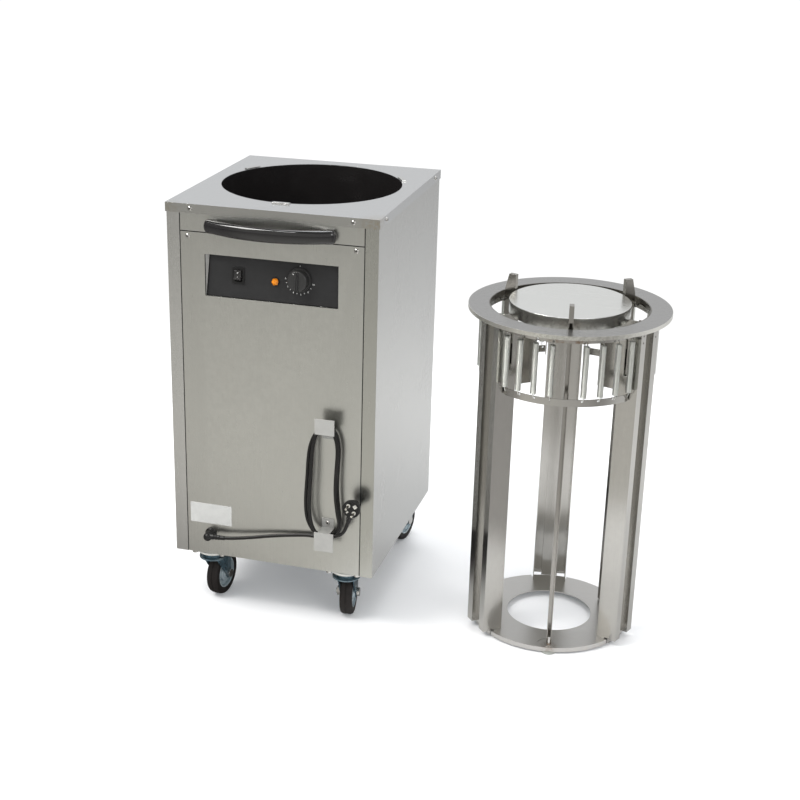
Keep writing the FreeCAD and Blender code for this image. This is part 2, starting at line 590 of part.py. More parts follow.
def makeAxle():
    """The axle bolt with its head on one leg and its nut on the other."""
    half = "forkInner + forkSheet"
    shaft = rod("y", "casterTrail", "-(%s)" % half, "wheelRadius", "axleRadius",
                "2 * (%s) + axleNut + axleSpare" % half)
    head = rod("y", "casterTrail", "-(%s) - axleHead" % half, "wheelRadius", "axleRadius * 1.6", "axleHead")
    nut = doc.addObject("Part::Prism", "Nut")
    nut.Polygon = 6
    nut.Placement = FreeCAD.Placement(V(), FreeCAD.Rotation(V(1, 0, 0), -90))
    bind(nut, Circumradius="axleRadius * 1.75", Height="axleNut")
    move(nut, "casterTrail", half, "wheelRadius")
    return fuse(shaft, head, nut)


def wheelAt(body):
    """A turned wheel part, built about Z, laid across the fork with its axle along local Y."""
    inner = group(body)
    inner.Placement = FreeCAD.Placement(V(), FreeCAD.Rotation(V(1, 0, 0), -90))
    return move(inner, "casterTrail", "0", "wheelRadius")


def makeHub():
    bore, half, web = "axleRadius + axleFit", "tyreWidth / 2", "hubWeb / 2"
    boss, edge, inner = half + " + hubStand", half + " - rimLip", "rimRadius - rimWall"
    side = [("hubRadius", boss), ("hubRadius", web), (inner, web), (inner + " + rimLip", edge),
            ("rimRadius", edge)]
    mirrored = [(r, "-(%s)" % z) for r, z in side]
    return turnedBody([(bore, "-(%s)" % boss)] + mirrored + side[::-1] + [(bore, boss)])


def makeTyre():
    half, tread = "tyreWidth / 2", "tyreTread / 2"
    shoulder = ("wheelRadius - tyreEdge * 0.3", "(%s) * 0.6 + (%s) * 0.4" % (half, tread))
    side = [("wheelRadius", tread), shoulder, ("wheelRadius - tyreEdge", half), ("rimRadius", half)]
    mirrored = [(r, "-(%s)" % z) for r, z in side]
    return turnedBody(mirrored[::-1] + side)


def makeCasters():
    makeCasterPlates()
    for name, sx, sy, yaw in CASTERS:
        for kind, thing in (("fork", makeFork()), ("axle", makeAxle()), ("hub", wheelAt(makeHub())),
                            ("tyre", wheelAt(makeTyre()))):
            holder = group(thing)
            turn(holder, yaw)
            holder.Label = "caster_%s_%s" % (kind, name)
            move(holder, "cartX + %scasterX" % sx, "cartY + %scasterY" % sy)
            NODES.append(holder)


# ---- rating plate, gland, hooks ----


def makeFrontFittings():
    face = "-bodyHalfY"
    piece("rating_plate", box(("ratingX - ratingWidth / 2", "ratingX + ratingWidth / 2"),
                              (face + " - ratingThick", face),
                              ("ratingZ - ratingTall / 2", "ratingZ + ratingTall / 2")))
    out = face + " - glandLength / 2 - 1"
    gland = fuse(rod("y", "glandX", face + " - glandFlange", "glandZ", "glandRadius + glandRim",
                     "glandFlange"),
                 rod("y", "glandX", face + " - glandLength", "glandZ", "glandRadius", "glandLength"),
                 rod("y", "glandX", face, "glandZ", "glandRadius - glandStep", "sheet + glandTail"),
                 rod("x", "glandX", out, "glandZ", "cordRadius + spoutWall", "glandRadius + spoutReach"))
    piece("cord_gland", gland)
    makeHook("upper", "hookHigh", 1)
    makeHook("lower", "hookLow", -1)


def makeHook(name, level, up):
    """A bent strip: base on the panel, stem outwards, and a face that turns away from the other hook."""
    face = "-bodyHalfY"
    stem = box(("hookX - hookStem / 2", "hookX + hookStem / 2"), (face + " - hookReach - hookSheet", face),
               (level + " - hookSheet / 2", level + " + hookSheet / 2"))
    if up > 0:
        baseZ = (level + " - hookBase", level + " + hookSheet / 2")
        faceZ = (level + " - hookSheet / 2", level + " + hookTall")
    else:
        baseZ = (level + " - hookSheet / 2", level + " + hookBase + hookSheet")
        faceZ = (level + " - hookDrop", level + " + hookSheet / 2")
    base = cut(box(("hookX - hookStem / 2", "hookX + hookStem / 2"), (face + " - hookSheet", face), baseZ),
               rod("y", "hookX", face + " - hookSheet - 1",
                   level + (" - hookBase / 2" if up > 0 else " + hookBase / 2 + hookSheet"),
                   "screwRadius", "hookSheet + 2"))
    front = box(("hookX - hookFace / 2", "hookX + hookFace / 2"),
                (face + " - hookReach - hookSheet", face + " - hookReach"), faceZ)
    piece("cord_hook_" + name, fuse(stem, base, front))


# ---- cord ----


def roundedPath(points):
    """Straight runs joined by tangent arcs, each as large as 0.45 of its shorter run allows."""
    edges, radii, last = [], [], points[0]
    for before, corner, after in zip(points, points[1:], points[2:]):
        a, b = (before - corner), (after - corner)
        half = (math.pi - a.getAngle(b)) / 2
        reach = 0.45 * min(a.Length, b.Length)
        radii.append(reach / math.tan(half))
        ua, ub = a.normalize(), b.normalize()
        start, end = corner + ua * reach, corner + ub * reach
        middle = (ua + ub).normalize()
        centre = corner + middle * (radii[-1] / math.cos(half))
        edges.append(Part.LineSegment(last, start).toShape())
        edges.append(Part.Arc(start, centre - middle * radii[-1], end).toShape())
        last = end
    edges.append(Part.LineSegment(last, points[-1]).toShape())
    return Part.Wire(edges), radii


def arcThrough(start, tangent, end):
    """The arc that leaves start along tangent and ends at end, or a line where they are in line."""
    chord = end - start
    angle = tangent.getAngle(chord)
    if angle < 1e-6:
        return Part.LineSegment(start, end).toShape()
    side = (chord - tangent * chord.dot(tangent)).normalize()
    radius = chord.Length / (2 * math.sin(angle))
    centre = start + side * radius
    middle = start + chord * 0.5 - centre
    return Part.Arc(start, centre + middle.normalize() * radius, end).toShape()


def biarcPath(stations):
    """Two tangent arcs between each pair of (point, direction) stations."""
    edges = []
    for (p, t), (q, u) in zip(stations, stations[1:]):
        chord = q - p
        a = 2 * (t.dot(u) - 1)
        b = -2 * chord.dot(t + u)
        c = chord.dot(chord)
        reach = -c / b if abs(a) < 1e-9 else (-b - math.sqrt(b * b - 4 * a * c)) / (2 * a)
        joint = (p + t * reach + q - u * reach) * 0.5
        edges.append(arcThrough(p, t, joint))
        away = arcThrough(q, -u, joint)
        edges.append(away)
    return Part.Wire(Part.__sortEdges__(edges))


def tubeAlong(wire, radius, start, direction):
    """A round tube along a path, checked against its section times its length."""
    ring = Part.Wire(Part.makeCircle(radius, start, direction))
    tube = wire.makePipeShell([ring], True, False)
    expected = math.pi * radius * radius * wire.Length
    print("tube length %.1f volume ratio %.4f" % (wire.Length, tube.Volume / expected))
    return tube


def hankStations():
    """Two turns of the cord round the hook stems, with each climb along the left-hand run."""
    hook, radius = SIZE["hookX"], SIZE["cordRadius"]
    under = SIZE["hookLow"] - SIZE["hookSheet"] / 2 - radius - 0.45
    over = SIZE["hookHigh"] + SIZE["hookSheet"] / 2 + radius + 0.45
    corner = 13
    flat = SIZE["hookStem"] / 2 - 1.5
    side = flat + corner
    layer = 8.8
    depth = -SIZE["bodyHalfY"] - 6.5
    left, right, up, down = V(-1, 0, 0), V(1, 0, 0), V(0, 0, 1), V(0, 0, -1)
    first = under - 15
    stations = [(V(hook - 18, depth, first), right), (V(hook + 4, depth, first), right),
                (V(hook + side + 2, depth, first + 24), up)]
    # where each turn bulges: right and left of the hooks, each with its share of the height
    bulges = ((27, 0.45, -30, 0.42), (34, 0.36, -41, 0.27))
    for turnIndex, (rightX, rightUp, leftX, leftUp) in enumerate(bulges):
        y = depth - turnIndex * layer
        if turnIndex:
            stations += [(V(hook + flat, y, under), right), (V(hook + side, y, under + corner), up)]
        stations += [(V(hook + rightX, y, under + (over - under) * rightUp), up),
                     (V(hook + side, y, over - corner), up), (V(hook + flat, y, over), left),
                     (V(hook - flat, y, over), left), (V(hook - side, y, over - corner), down),
                     (V(hook + leftX, y - layer * 0.6, under + (over - under) * leftUp), down),
                     (V(hook - side, y - layer, under + corner), down),
                     (V(hook - flat, y - layer, under), right)]
    stations.append((V(hook + flat, depth - layer * len(bulges), under), right))
    return stations


def leastGap(wire, radius):
    """The least gap between the turns, measured on points along the path."""
    count = int(wire.Length / 2)
    points = wire.discretize(count)
    step = wire.Length / (count - 1)
    skip = int(40 / step)
    least = min((p - q).Length for i, p in enumerate(points) for q in points[i + skip:])
    return least - 2 * radius


def makeCord():
    radius = SIZE["cordRadius"]
    hank = hankStations()
    hankWire = biarcPath(hank)
    print("hank least gap to itself %.2f mm" % leastGap(hankWire, radius))
    solidPiece("cord_hank", tubeAlong(hankWire, radius, hank[0][0], hank[0][1]))
    face = -SIZE["bodyHalfY"]
    glandOut = SIZE["glandX"] + SIZE["glandRadius"] + SIZE["spoutReach"]
    glandY = face - SIZE["glandLength"] / 2 - 1
    start, end = V(glandOut, glandY, SIZE["glandZ"]), hank[0][0]
    middle = [V(-97, start.y, start.z), V(-67, -249.8, 183), V(-36, -248, 189.2), V(-6, -247.2, 197),
              V(26, -246.6, 204), V(56, -246.2, 209.2)]
    # the last run of the lead lies level, in line with the first station of the hank
    points = [start] + middle + [V(end.x - 24, end.y, end.z), end]
    wire, radii = roundedPath(points)
    print("lead radii", [round(r) for r in radii])
    solidPiece("cord_lead", tubeAlong(wire, radius, start, points[1] - points[0]))
    start = hank[-1][0]
    boss = plugBossEnd()
    away = (boss - plugCentre()).normalize() * 17
    points = [start, V(start.x + 14, start.y, start.z), V(163.1, -265, 236.9), boss + away, boss]
    wire, radii = roundedPath(points)
    print("tail radii", [round(r) for r in radii])
    solidPiece("cord_tail", tubeAlong(wire, radius, start, points[1] - points[0]))


def plugCentre():
    return V(SIZE["plugX"], -SIZE["plugBack"] - SIZE["plugLength"] * 0.4, SIZE["plugZ"])


def plugBossEnd():
    """Where the cord meets the plug: the end of the boss, below the plug and a little to its left."""
    lean = math.radians(SIZE["bossLean"])
    return plugCentre() - V(math.cos(lean), 0, math.sin(lean)) * SIZE["bossReach"]


def makePlug():
    body = fuse(rod("y", "plugX", "-plugBack - plugLength", "plugZ", "plugRadius", "plugLength"),
                rod("y", "plugX", "-plugBack", "plugZ", "plugRadius - 3", "plugStep"))
    end = plugBossEnd()
    way = plugCentre() - end
    boss = doc.addObject("Part::Feature", "Boss")
    boss.Shape = Part.makeCone(SIZE["cordRadius"] + SIZE["bossRim"], SIZE["bossRadius"],
                               way.Length - SIZE["bossRadius"] / 2, end, way)
    holes, pins = [], []
    for across, rise in ("-+", "+-"):
        x, z = "plugX %s pinAcross" % across, "plugZ %s pinRise" % rise
        holes.append(rod("y", x, "-plugBack - plugLength - 1", z, "pinShank", "pinSocket + 1"))
        # each pin steps down to a thinner shank just before it goes into the plug
        pins.append(fuse(rod("y", x, "-plugBack - plugLength - pinLength", z, "pinRadius",
                             "pinLength - pinNeck"),
                         rod("y", x, "-plugBack - plugLength - pinLength", z, "pinShank",
                             "pinLength + pinSocket")))
    piece("plug_body", cut(fuse(body, boss), *holes))
    piece("plug_pins", group(*pins))


# ---- cage ----
COLUMNS = ["columnAngle + %d" % (120 * i) for i in range(3)]
GUIDES = ["columnAngle + %d" % (180 + 120 * i) for i in range(3)]


def around(angles, build):
    """Copies of one shape, built along local +X, turned to each angle about the cage's axis."""
    copies = []
    for angle in angles:
        holder = group(build())
        turn(holder, angle)
        copies.append(holder)
    return copies


def makeFlangeRing():
    top, under = "cageHeight", "cageHeight - flangeSheet"
    inner = "flangeBore"
    rim = "flangeRadius - flangeSheet"
    low, edge, skin = "cageHeight - collarDepth", "cageHeight - flangeRim", "flangeBore + flangeSheet"
    body = turnedBody([(inner, low), (inner, top), ("flangeRadius", top), ("flangeRadius", edge), (rim, edge),
                       (rim, under), (skin, under), (skin, low)])
    lugHigh = ("lugLevel", "lugLevel + lugThick")
    lugs = around(GUIDES, lambda: cut(
        fuse(rod("z", "guidePivot", "0", "lugLevel", "lugRadius", "lugThick"),
             box(("guidePivot", "flangeBore + 1"), ("-lugRadius", "lugRadius"), lugHigh)),
        rod("z", "guidePivot", "0", "lugLevel - 1", "pivotRadius + pivotFit", "lugThick + 2")))
    webs = around(GUIDES, lambda: box(("flangeBore", "flangeBore + flangeSheet"), ("-lugRadius", "lugRadius"),
                                      ("lugLevel", under)))
    piece("flange_ring", fuse(group(body), *(lugs + webs)), "cage")


def makeBaseRing():
    low = "baseTop - baseRim"
    body = turnedBody([("baseBore", "baseTop - baseSheet"), ("baseRadius - baseSheet", "baseTop - baseSheet"),
                       ("baseRadius - baseSheet", low), ("baseRadius", low), ("baseRadius", "baseTop"),
                       ("baseBore", "baseTop")])
    slits = around(COLUMNS, lambda: fuse(*[
        box(("slitStart", "columnOuter"), across, ("0", "baseTop + 1"))
        for across in (("columnHalf + seat", "columnHalf + slitWidth"),
                       ("-columnHalf - slitWidth", "-columnHalf - seat"))]))
    bores = around(GUIDES, lambda: fuse(
        rod("z", "guidePivot", "0", "0", "pivotRadius + pivotFit", "baseTop + 1"), *indexHoles()))
    piece("base_ring", cut(group(body), *(slits + bores)), "cage")


def indexHoles():
    """The row of small holes that the guide's foot latches into, on an arc about its pivot."""
    holes = []
    for i in range(7):
        angle = math.radians(SIZE["indexStep"] * i)
        away = SIZE["indexRadius"]
        holes.append(rod("z", "guidePivot - indexRadius * %.6f" % math.cos(angle),
                         "-indexRadius * %.6f" % math.sin(angle), "baseTop - baseSheet - 1", "indexHole",
                         "baseSheet + 2"))
    return holes


def columnOutline():
    """A channel open towards the axis: two side walls, two outer lips and a groove between them."""
    web, groove = "webInner", "columnHalf - columnLip"
    outer = [("columnInner", "columnHalf"), ("columnOuter", "columnHalf"), ("columnOuter", groove),
             (web + " + columnSheet", groove)]
    lip, wall = "columnOuter - columnSheet", "columnHalf - columnSheet"
    inner = [(web, groove + " + columnSheet"), (lip, groove + " + columnSheet"), (lip, wall),
             ("columnInner", wall)]

    def flip(corners):
        return [(x, "-(%s)" % y) for x, y in reversed(corners)]

    return outer + flip(outer) + flip(inner) + inner


def makeColumns():
    height = "cageHeight - flangeSheet - baseTop"

    def column():
        body = padBody("XY_Plane", columnOutline(), height)
        holder = group(body)
        move(holder, z="baseTop")
        # two pairs of weld holes near the top of each lip
        holes = [rod("x", "columnOuter - 2 * columnSheet", "%s(columnHalf - columnLip / 2)" % side,
                     "cageHeight - (%s)" % drop, "weldHole", "4 * columnSheet")
                 for side in ("-", "") for drop in ("weldDrop", "weldDrop - weldPitch")]
        collar = rod("z", "0", "0", "cageHeight - collarDepth - seat", "flangeBore + flangeSheet + seat",
                     "collarDepth + 1")
        return cut(holder, collar, *holes)

    piece("columns", group(*around(COLUMNS, column)), "cage")


def ringArc(radius, sheetSize, low, tall, startHalf, holes):
    """A curved strip between two columns, holed for the spring hooks, about local +X."""
    reach = math.radians(60) - math.asin((startHalf + SIZE["seat"]) / (radius - sheetSize))
    reach = math.degrees(reach)
    strip = Part.makeCylinder(radius, tall, V(0, 0, low), V(0, 0, 1), 2 * reach)
    strip = strip.cut(Part.makeCylinder(radius - sheetSize, tall + 2, V(0, 0, low - 1)))
    strip.rotate(V(), V(0, 0, 1), -reach)
    hole = SIZE["stripHole"]
    for angle in springAngles():
        way = V(math.cos(angle), math.sin(angle), 0)
        start = way * (radius - 6)
        strip = strip.cut(Part.makeCylinder(hole, 12, V(start.x, start.y, holes), way))
    return strip


def springAngles():
    first, step = SIZE["springFirst"], SIZE["springStep"]
    return [math.radians(side * (first + step * i)) for side in (1, -1) for i in range(4)]


def turned(shape, angle):
    copy = shape.copy()
    copy.rotate(V(), V(0, 0, 1), angle)
    return copy


GUIDE_TURNS = [SIZE["columnAngle"] + 180 + 120 * i for i in range(3)]


def makeStrips():
    radius, thick = SIZE["stripRadius"], SIZE["stripSheet"]
    low = SIZE["hangerTop"] - SIZE["hangerTall"]
    hanger = ringArc(radius, thick, low, SIZE["hangerTall"], SIZE["columnHalf"], low + SIZE["stripEdge"])
    solidPiece("spring_hangers", Part.makeCompound([turned(hanger, a) for a in GUIDE_TURNS]), "cage")
    low = SIZE["stripTop"] - SIZE["stripTall"]
    strip = ringArc(radius, thick, low, SIZE["stripTall"], SIZE["bracketWide"],
                    SIZE["stripTop"] - SIZE["stripEdge"])
    solidPiece("spring_strips", Part.makeCompound([turned(strip, a) for a in GUIDE_TURNS]), "cage")


def springShape(angle):
    """One close-wound tension spring, a plain barrel as it looks, with a wire hook at each end."""
    coil, wire, loop = SIZE["springCoil"], SIZE["springWire"], SIZE["hookLoop"]
    strip, hanger = SIZE["stripTop"], SIZE["hangerTop"] - SIZE["hangerTall"]
    low, high = strip + SIZE["springLow"], hanger - SIZE["springHigh"]
    axis = V(SIZE["springRadius"], 0, 0)
    shape = Part.makeCylinder(coil, high - low, axis + V(0, 0, low))
    for level, way, hole in ((low, -1, strip - SIZE["stripEdge"]), (high, 1, hanger + SIZE["stripEdge"])):
        pull = hole - way * (SIZE["stripHole"] - wire - SIZE["seat"])
        top = V(axis.x, 0, level - way * 2)
        out = V(axis.x, 0, pull)
        tip = V(SIZE["stripRadius"] - SIZE["stripSheet"] - loop, 0, pull)
        stem = Part.makeCylinder(wire, (out - top).Length, top, out - top)
        arm = Part.makeCylinder(wire, (tip - out).Length, out, tip - out)
        elbow = Part.makeSphere(wire, out)
        shape = shape.fuse(stem).fuse(arm).fuse(elbow)
    shape = shape.removeSplitter()
    shape.rotate(V(), V(0, 0, 1), math.degrees(angle))
    return shape


def makeSprings():
    springs = [turned(springShape(a), bank) for bank in GUIDE_TURNS for a in springAngles()]
    solidPiece("extension_springs", Part.makeCompound(springs), "cage")


def makeFeet():
    def foot():
        pad = rod("z", "guidePivot - footInset", "0", "0", "footRadius", "footThick")
        shank = rod("z", "guidePivot - footInset", "0", "footThick", "footShank",
                    "baseTop - baseSheet - footThick")
        return cut(fuse(pad, shank), rod("z", "guidePivot", "0", "footThick", "pivotRadius + footFit",
                                         "baseTop"))

    piece("cage_feet", group(*around(GUIDES, foot)), "cage")


def makeGuide():
    """A folded strip standing radially, with a tab and a pivot stub at the foot and at the flange."""
    low = "baseTop + guideLift"
    top = "cageHeight + guideRise"
    half = "guideThick / 2"
    blade = padBody("XZ_Plane", [("guideInner", low), ("guideInner", top),
                                 ("guideOuter - guideSlant", top), ("guideOuter", top + " - guideTaper"),
                                 ("guideOuter", low)], "guideThick")
    stood = group(blade)
    move(stood, "0", half)
    hollow = box(("guideInner + guideSheet", "guideOuter + 1"),
                 ("-%s + guideSheet" % half, "%s - guideSheet" % half),
                 (low + " + guideTab", top + " - guideTaper"))
    tabs = []
    for level in (low, "lugLevel - guideTab - seat"):
        tabs.append(box(("guideInner + guideSheet / 2", "guidePivot"), ("-" + half, half),
                        (level, level + " + guideTab")))
        tabs.append(rod("z", "guidePivot", "0", level, "lugRadius", "guideTab"))
    stubs = [rod("z", "guidePivot", "0", "footThick + 1", "pivotRadius", "%s - footThick" % low),
             rod("z", "guidePivot", "0", "lugLevel - guideTab - seat", "pivotRadius",
                 "lugThick + guideTab + seat + 1")]
    latch = rod("z", "guidePivot - indexRadius", "0", "baseTop + seat", "latchRadius", "guideLift + guideTab")
    return fuse(cut(stood, hollow), latch, *(tabs + stubs))


def makeGuides():
    for i, angle in enumerate(GUIDES):
        holder = around([angle], makeGuide)[0]
        piece("plate_guide_%d" % (i + 1), group(holder), "cage")


# ---- carriage ----


def makeCarriage():
    under = "platformTop - platformSheet"
    low = "platformTop - platformRim"
    wall = "platformRadius - platformSheet"
    body = turnedBody([("0", under), (wall, under), (wall, low), ("platformRadius", low),
                       ("platformRadius", "platformTop"), ("0", "platformTop")])
    piece("platform", group(body), "cage")
    armLow = under + " - armThick"
    arms = around(COLUMNS, lambda: box(("0", "armReach"), ("-armWidth / 2", "armWidth / 2"), (armLow, under)))
    piece("platform_spider", fuse(rod("z", "0", "0", armLow, "hubDisc", "armThick"), *arms), "cage")

    def bracket():
        top = armLow
        thick = "columnSheet"
        web = box(("bracketInner", "armReach"), ("-bracketWide", "bracketWide"), (top + " - " + thick, top))
        cheeks = []
        edges = (("bracketWide - " + thick, "bracketWide"), ("-bracketWide", "-bracketWide + " + thick))
        for across in edges:
            cheeks.append(box(("bracketInner", "armReach"), across, ("cheekTop - cheekLap", top)))
            cheeks.append(box(("cheekInner", "cheekOuter"), across, ("cheekLow", "cheekTop")))
            cheeks.append(box(("cheekOuter - tabLap", "tabReach"), across, ("tabLow", "tabTop")))
        return fuse(web, *cheeks)

    piece("carriage_brackets", group(*around(COLUMNS, bracket)), "cage")

    def shoes():
        """Nylon blocks on the cheeks, slotted to ride on the inner edges of a column's walls."""
        blocks = []
        for side in (1, -1):
            for level in ("shoeLow", "shoeHigh"):
                inner, outer = "columnHalf - columnSheet - shoeWall", "bracketWide - columnSheet"
                across = (inner, outer) if side > 0 else ("-(%s)" % outer, "-(%s)" % inner)
                slot = ("columnHalf - columnSheet - shoeGap", "columnHalf + shoeGap")
                slot = slot if side > 0 else ("-(%s)" % slot[1], "-(%s)" % slot[0])
                blocks.append(cut(box(("columnInner - shoeWall", "cheekOuter - shoeInset"), across,
                                      (level, level + " + shoeHeight")),
                                  box(("columnInner - shoeGap", "cheekOuter"), slot,
                                      (level + " - 1", level + " + shoeHeight + 1"))))
        return group(*blocks)

    piece("glide_shoes", group(*around(COLUMNS, shoes)), "cage")


makeLid()
for sideName, sideSign in SIDES:
    makeSide(sideName, sideSign)
makeBack()
makeCrossbar()
makeFrontPanel()
makeScrews()
makeFloorPan()
makeWell()
makeControls()
makeHandle()
makeCasters()
makeFrontFittings()
makeCord()
makePlug()
makeFlangeRing()
makeBaseRing()
makeColumns()
makeStrips()
makeSprings()
makeFeet()
makeGuides()
makeCarriage()

doc.recompute()
for thing in doc.Objects:
    if "Invalid" in thing.State or "Error" in thing.State:
        raise RuntimeError("failed: %s %s" % (thing.Name, thing.Label))
os.makedirs("parts", exist_ok=True)
for node in NODES:
    if node.Shape.isNull() or not node.Shape.isValid():
        raise RuntimeError("bad shape: " + node.Label)
for node in NODES:
    node.Shape.exportStep("parts/%s.step" % node.Label)
print("nodes", len(NODES), "solids", sum(len(n.Shape.Solids) for n in NODES))
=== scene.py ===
import json
import math

import bmesh
import bpy
from mathutils import Matrix, Vector

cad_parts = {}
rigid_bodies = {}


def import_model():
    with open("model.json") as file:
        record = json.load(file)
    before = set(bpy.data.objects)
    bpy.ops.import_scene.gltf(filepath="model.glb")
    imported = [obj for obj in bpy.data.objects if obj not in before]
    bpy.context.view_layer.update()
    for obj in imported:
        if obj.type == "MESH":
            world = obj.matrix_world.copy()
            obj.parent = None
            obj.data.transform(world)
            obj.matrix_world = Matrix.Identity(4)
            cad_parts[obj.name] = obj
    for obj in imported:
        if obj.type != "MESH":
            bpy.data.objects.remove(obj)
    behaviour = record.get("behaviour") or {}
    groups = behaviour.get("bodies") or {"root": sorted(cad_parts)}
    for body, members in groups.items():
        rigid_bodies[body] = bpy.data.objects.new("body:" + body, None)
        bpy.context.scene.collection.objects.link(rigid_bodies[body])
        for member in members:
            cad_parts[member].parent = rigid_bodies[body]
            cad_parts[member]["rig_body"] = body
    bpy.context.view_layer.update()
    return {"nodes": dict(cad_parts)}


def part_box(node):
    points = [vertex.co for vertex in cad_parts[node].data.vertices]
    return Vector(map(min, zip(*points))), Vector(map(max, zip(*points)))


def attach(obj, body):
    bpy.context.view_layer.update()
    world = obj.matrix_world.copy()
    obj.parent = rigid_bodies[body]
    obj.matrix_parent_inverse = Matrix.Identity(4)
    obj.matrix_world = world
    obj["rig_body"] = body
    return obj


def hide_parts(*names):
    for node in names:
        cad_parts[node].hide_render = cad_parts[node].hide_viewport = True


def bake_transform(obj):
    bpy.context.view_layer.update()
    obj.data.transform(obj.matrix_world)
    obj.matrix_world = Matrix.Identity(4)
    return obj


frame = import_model()
nodes = frame["nodes"]
print("frame loaded:", len(nodes), "nodes")

mm = 0.001


def middleOf(node):
    low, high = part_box(node)
    return Vector(((low.x + high.x) / 2, (low.y + high.y) / 2, 0))


cartPlace = middleOf("lid")
cagePlace = middleOf("flange_ring")


def onCart(x, y, z):
    return cartPlace + Vector((x, y, z)) * mm


def onCage(x, y, z):
    return cagePlace + Vector((x, y, z)) * mm


def turn(degrees, axis):
    return Matrix.Rotation(math.radians(degrees), 4, axis)


def shift(x, y, z):
    return Matrix.Translation(Vector((x, y, z)) * mm)


panelFace = -239.5  # the front panel's face, mm from the cart's middle
corners = ("front_left", "front_right", "back_left", "back_right")
outward = turn(90, "X")  # local Z looks out of the front


# camera, floor and light
cameraLook = {"azimuth": 17.459, "elevation": 21.674, "roll": 0.58, "distance": 3.52794, "side": 0.05544,
              "rise": 0.33125, "lens": 68.695, "shiftX": 0.0852, "shiftY": 0.0327}


def makeCamera(look):
    a, e, r = (math.radians(look[k]) for k in ("azimuth", "elevation", "roll"))
    back = Vector((math.sin(a) * math.cos(e), -math.cos(a) * math.cos(e), math.sin(e)))
    right = Vector((0, 0, 1)).cross(back).normalized()
    up = back.cross(right)
    rolledRight = right * math.cos(r) + up * math.sin(r)
    rolledUp = up * math.cos(r) - right * math.sin(r)
    data = bpy.data.cameras.new("photoCamera")
    data.lens, data.sensor_width = look["lens"], 36
    data.shift_x, data.shift_y = look["shiftX"], look["shiftY"]
    camera = bpy.data.objects.new("photoCamera", data)
    place = cartPlace + rolledRight * look["side"] + rolledUp * look["rise"] + back * look["distance"]
    turned = Matrix((rolledRight, rolledUp, back)).transposed().to_4x4()
    camera.matrix_world = Matrix.Translation(place) @ turned
    bpy.context.scene.collection.objects.link(camera)
    bpy.context.scene.camera = camera


makeCamera(cameraLook)


def wire(tree, node, *values, **settings):
    # properties by name, then inputs by name or in order; a socket is linked and a plain value is set
    pairs = []
    for name, value in settings.items():
        label = name.replace("_", " ")
        if label in node.inputs:
            pairs.append((label, value))
        else:
            setattr(node, name, value)
    for key, value in pairs + list(enumerate(values)):
        if isinstance(value, bpy.types.NodeSocket):
            tree.links.new(value, node.inputs[key])
        elif value is not None:
            node.inputs[key].default_value = value
    return node


def put(tree, kind, *values, **settings):
    return wire(tree, tree.nodes.new(kind), *values, **settings)


def place(tree, group, *values):
    return wire(tree, put(tree, "ShaderNodeGroup", node_tree=group), *values)


def newGroup(name, inputs, outputs):
    group = bpy.data.node_groups.new(name, "ShaderNodeTree")
    for label, kind, value in inputs:
        socket = group.interface.new_socket(label, in_out="INPUT", socket_type="NodeSocket" + kind)
        if value is not None:
            socket.default_value = value
    for label, kind in outputs:
        group.interface.new_socket(label, in_out="OUTPUT", socket_type="NodeSocket" + kind)
    start = group.nodes.new("NodeGroupInput")
    return group, list(start.outputs)[:len(inputs)], group.nodes.new("NodeGroupOutput")


def times(tree, one, other):
    return put(tree, "ShaderNodeMath", one, other, operation="MULTIPLY").outputs[0]


def spread(tree, value, *limits, **settings):
    # limits: from low, from high, to low, to high
    return put(tree, "ShaderNodeMapRange", value, *limits, **settings).outputs[0]


def noise(tree, spot, size, detail, **settings):
    return put(tree, "ShaderNodeTexNoise", spot, Scale=size, Detail=detail, **settings).outputs[0]


def distance(tree, spot, other):
    return put(tree, "ShaderNodeVectorMath", spot, other, operation="DISTANCE").outputs["Value"]


def length(tree, way):
    return put(tree, "ShaderNodeVectorMath", way, operation="LENGTH").outputs["Value"]


def facing(tree, axis):
    normal = put(tree, "ShaderNodeNewGeometry").outputs["Normal"]
    return put(tree, "ShaderNodeSeparateXYZ", normal).outputs[axis]


def mixColour(tree, share, base, over, **settings):
    colours = [(*value, 1) if isinstance(value, tuple) else value for value in (base, over)]
    unused = [None] * 5
    return put(tree, "ShaderNodeMix", share, *unused, *colours, data_type="RGBA", **settings).outputs[2]


# what steel sees of the room, by the compass: 0 is the front, 0.25 the left, 0.5 the back, 0.75 the right
roomTones = ((0.0, (0.60, 0.595, 0.565)), (0.09, (0.58, 0.57, 0.54)), (0.16, (0.30, 0.29, 0.28)),
             (0.27, (0.16, 0.155, 0.15)), (0.345, (0.12, 0.117, 0.113)), (0.385, (0.55, 0.55, 0.55)),
             (0.42, (0.86, 0.87, 0.88)), (0.52, (0.84, 0.845, 0.85)), (0.60, (0.82, 0.82, 0.82)),
             (0.68, (1.0, 1.0, 1.0)), (0.76, (0.80, 0.80, 0.79)), (0.83, (0.42, 0.41, 0.40)),
             (0.92, (0.58, 0.57, 0.55)), (1.0, (0.60, 0.595, 0.565)))
studio = {"worldDiffuse": 0.84, "skyLift": 0.86, "ceiling": 0.3, "floorWhite": 0.86, "floorNear": 0.74,
          "floorFar": 0.61, "liftNear": 0.3, "liftFar": 2.4, "nearFloor": 1.3, "farFloor": 2.4, "farGlow": 1.05,
          "patchPlace": (0.22, -0.34, 0), "patchNear": 0.3, "patchFar": 0.52, "dimFrom": 0.5, "dimTo": 0.8,
          "backdrop": 1.1, "floorHalf": 30, "shadowGlow": (0.118, 0.126, 0.132, 1)}


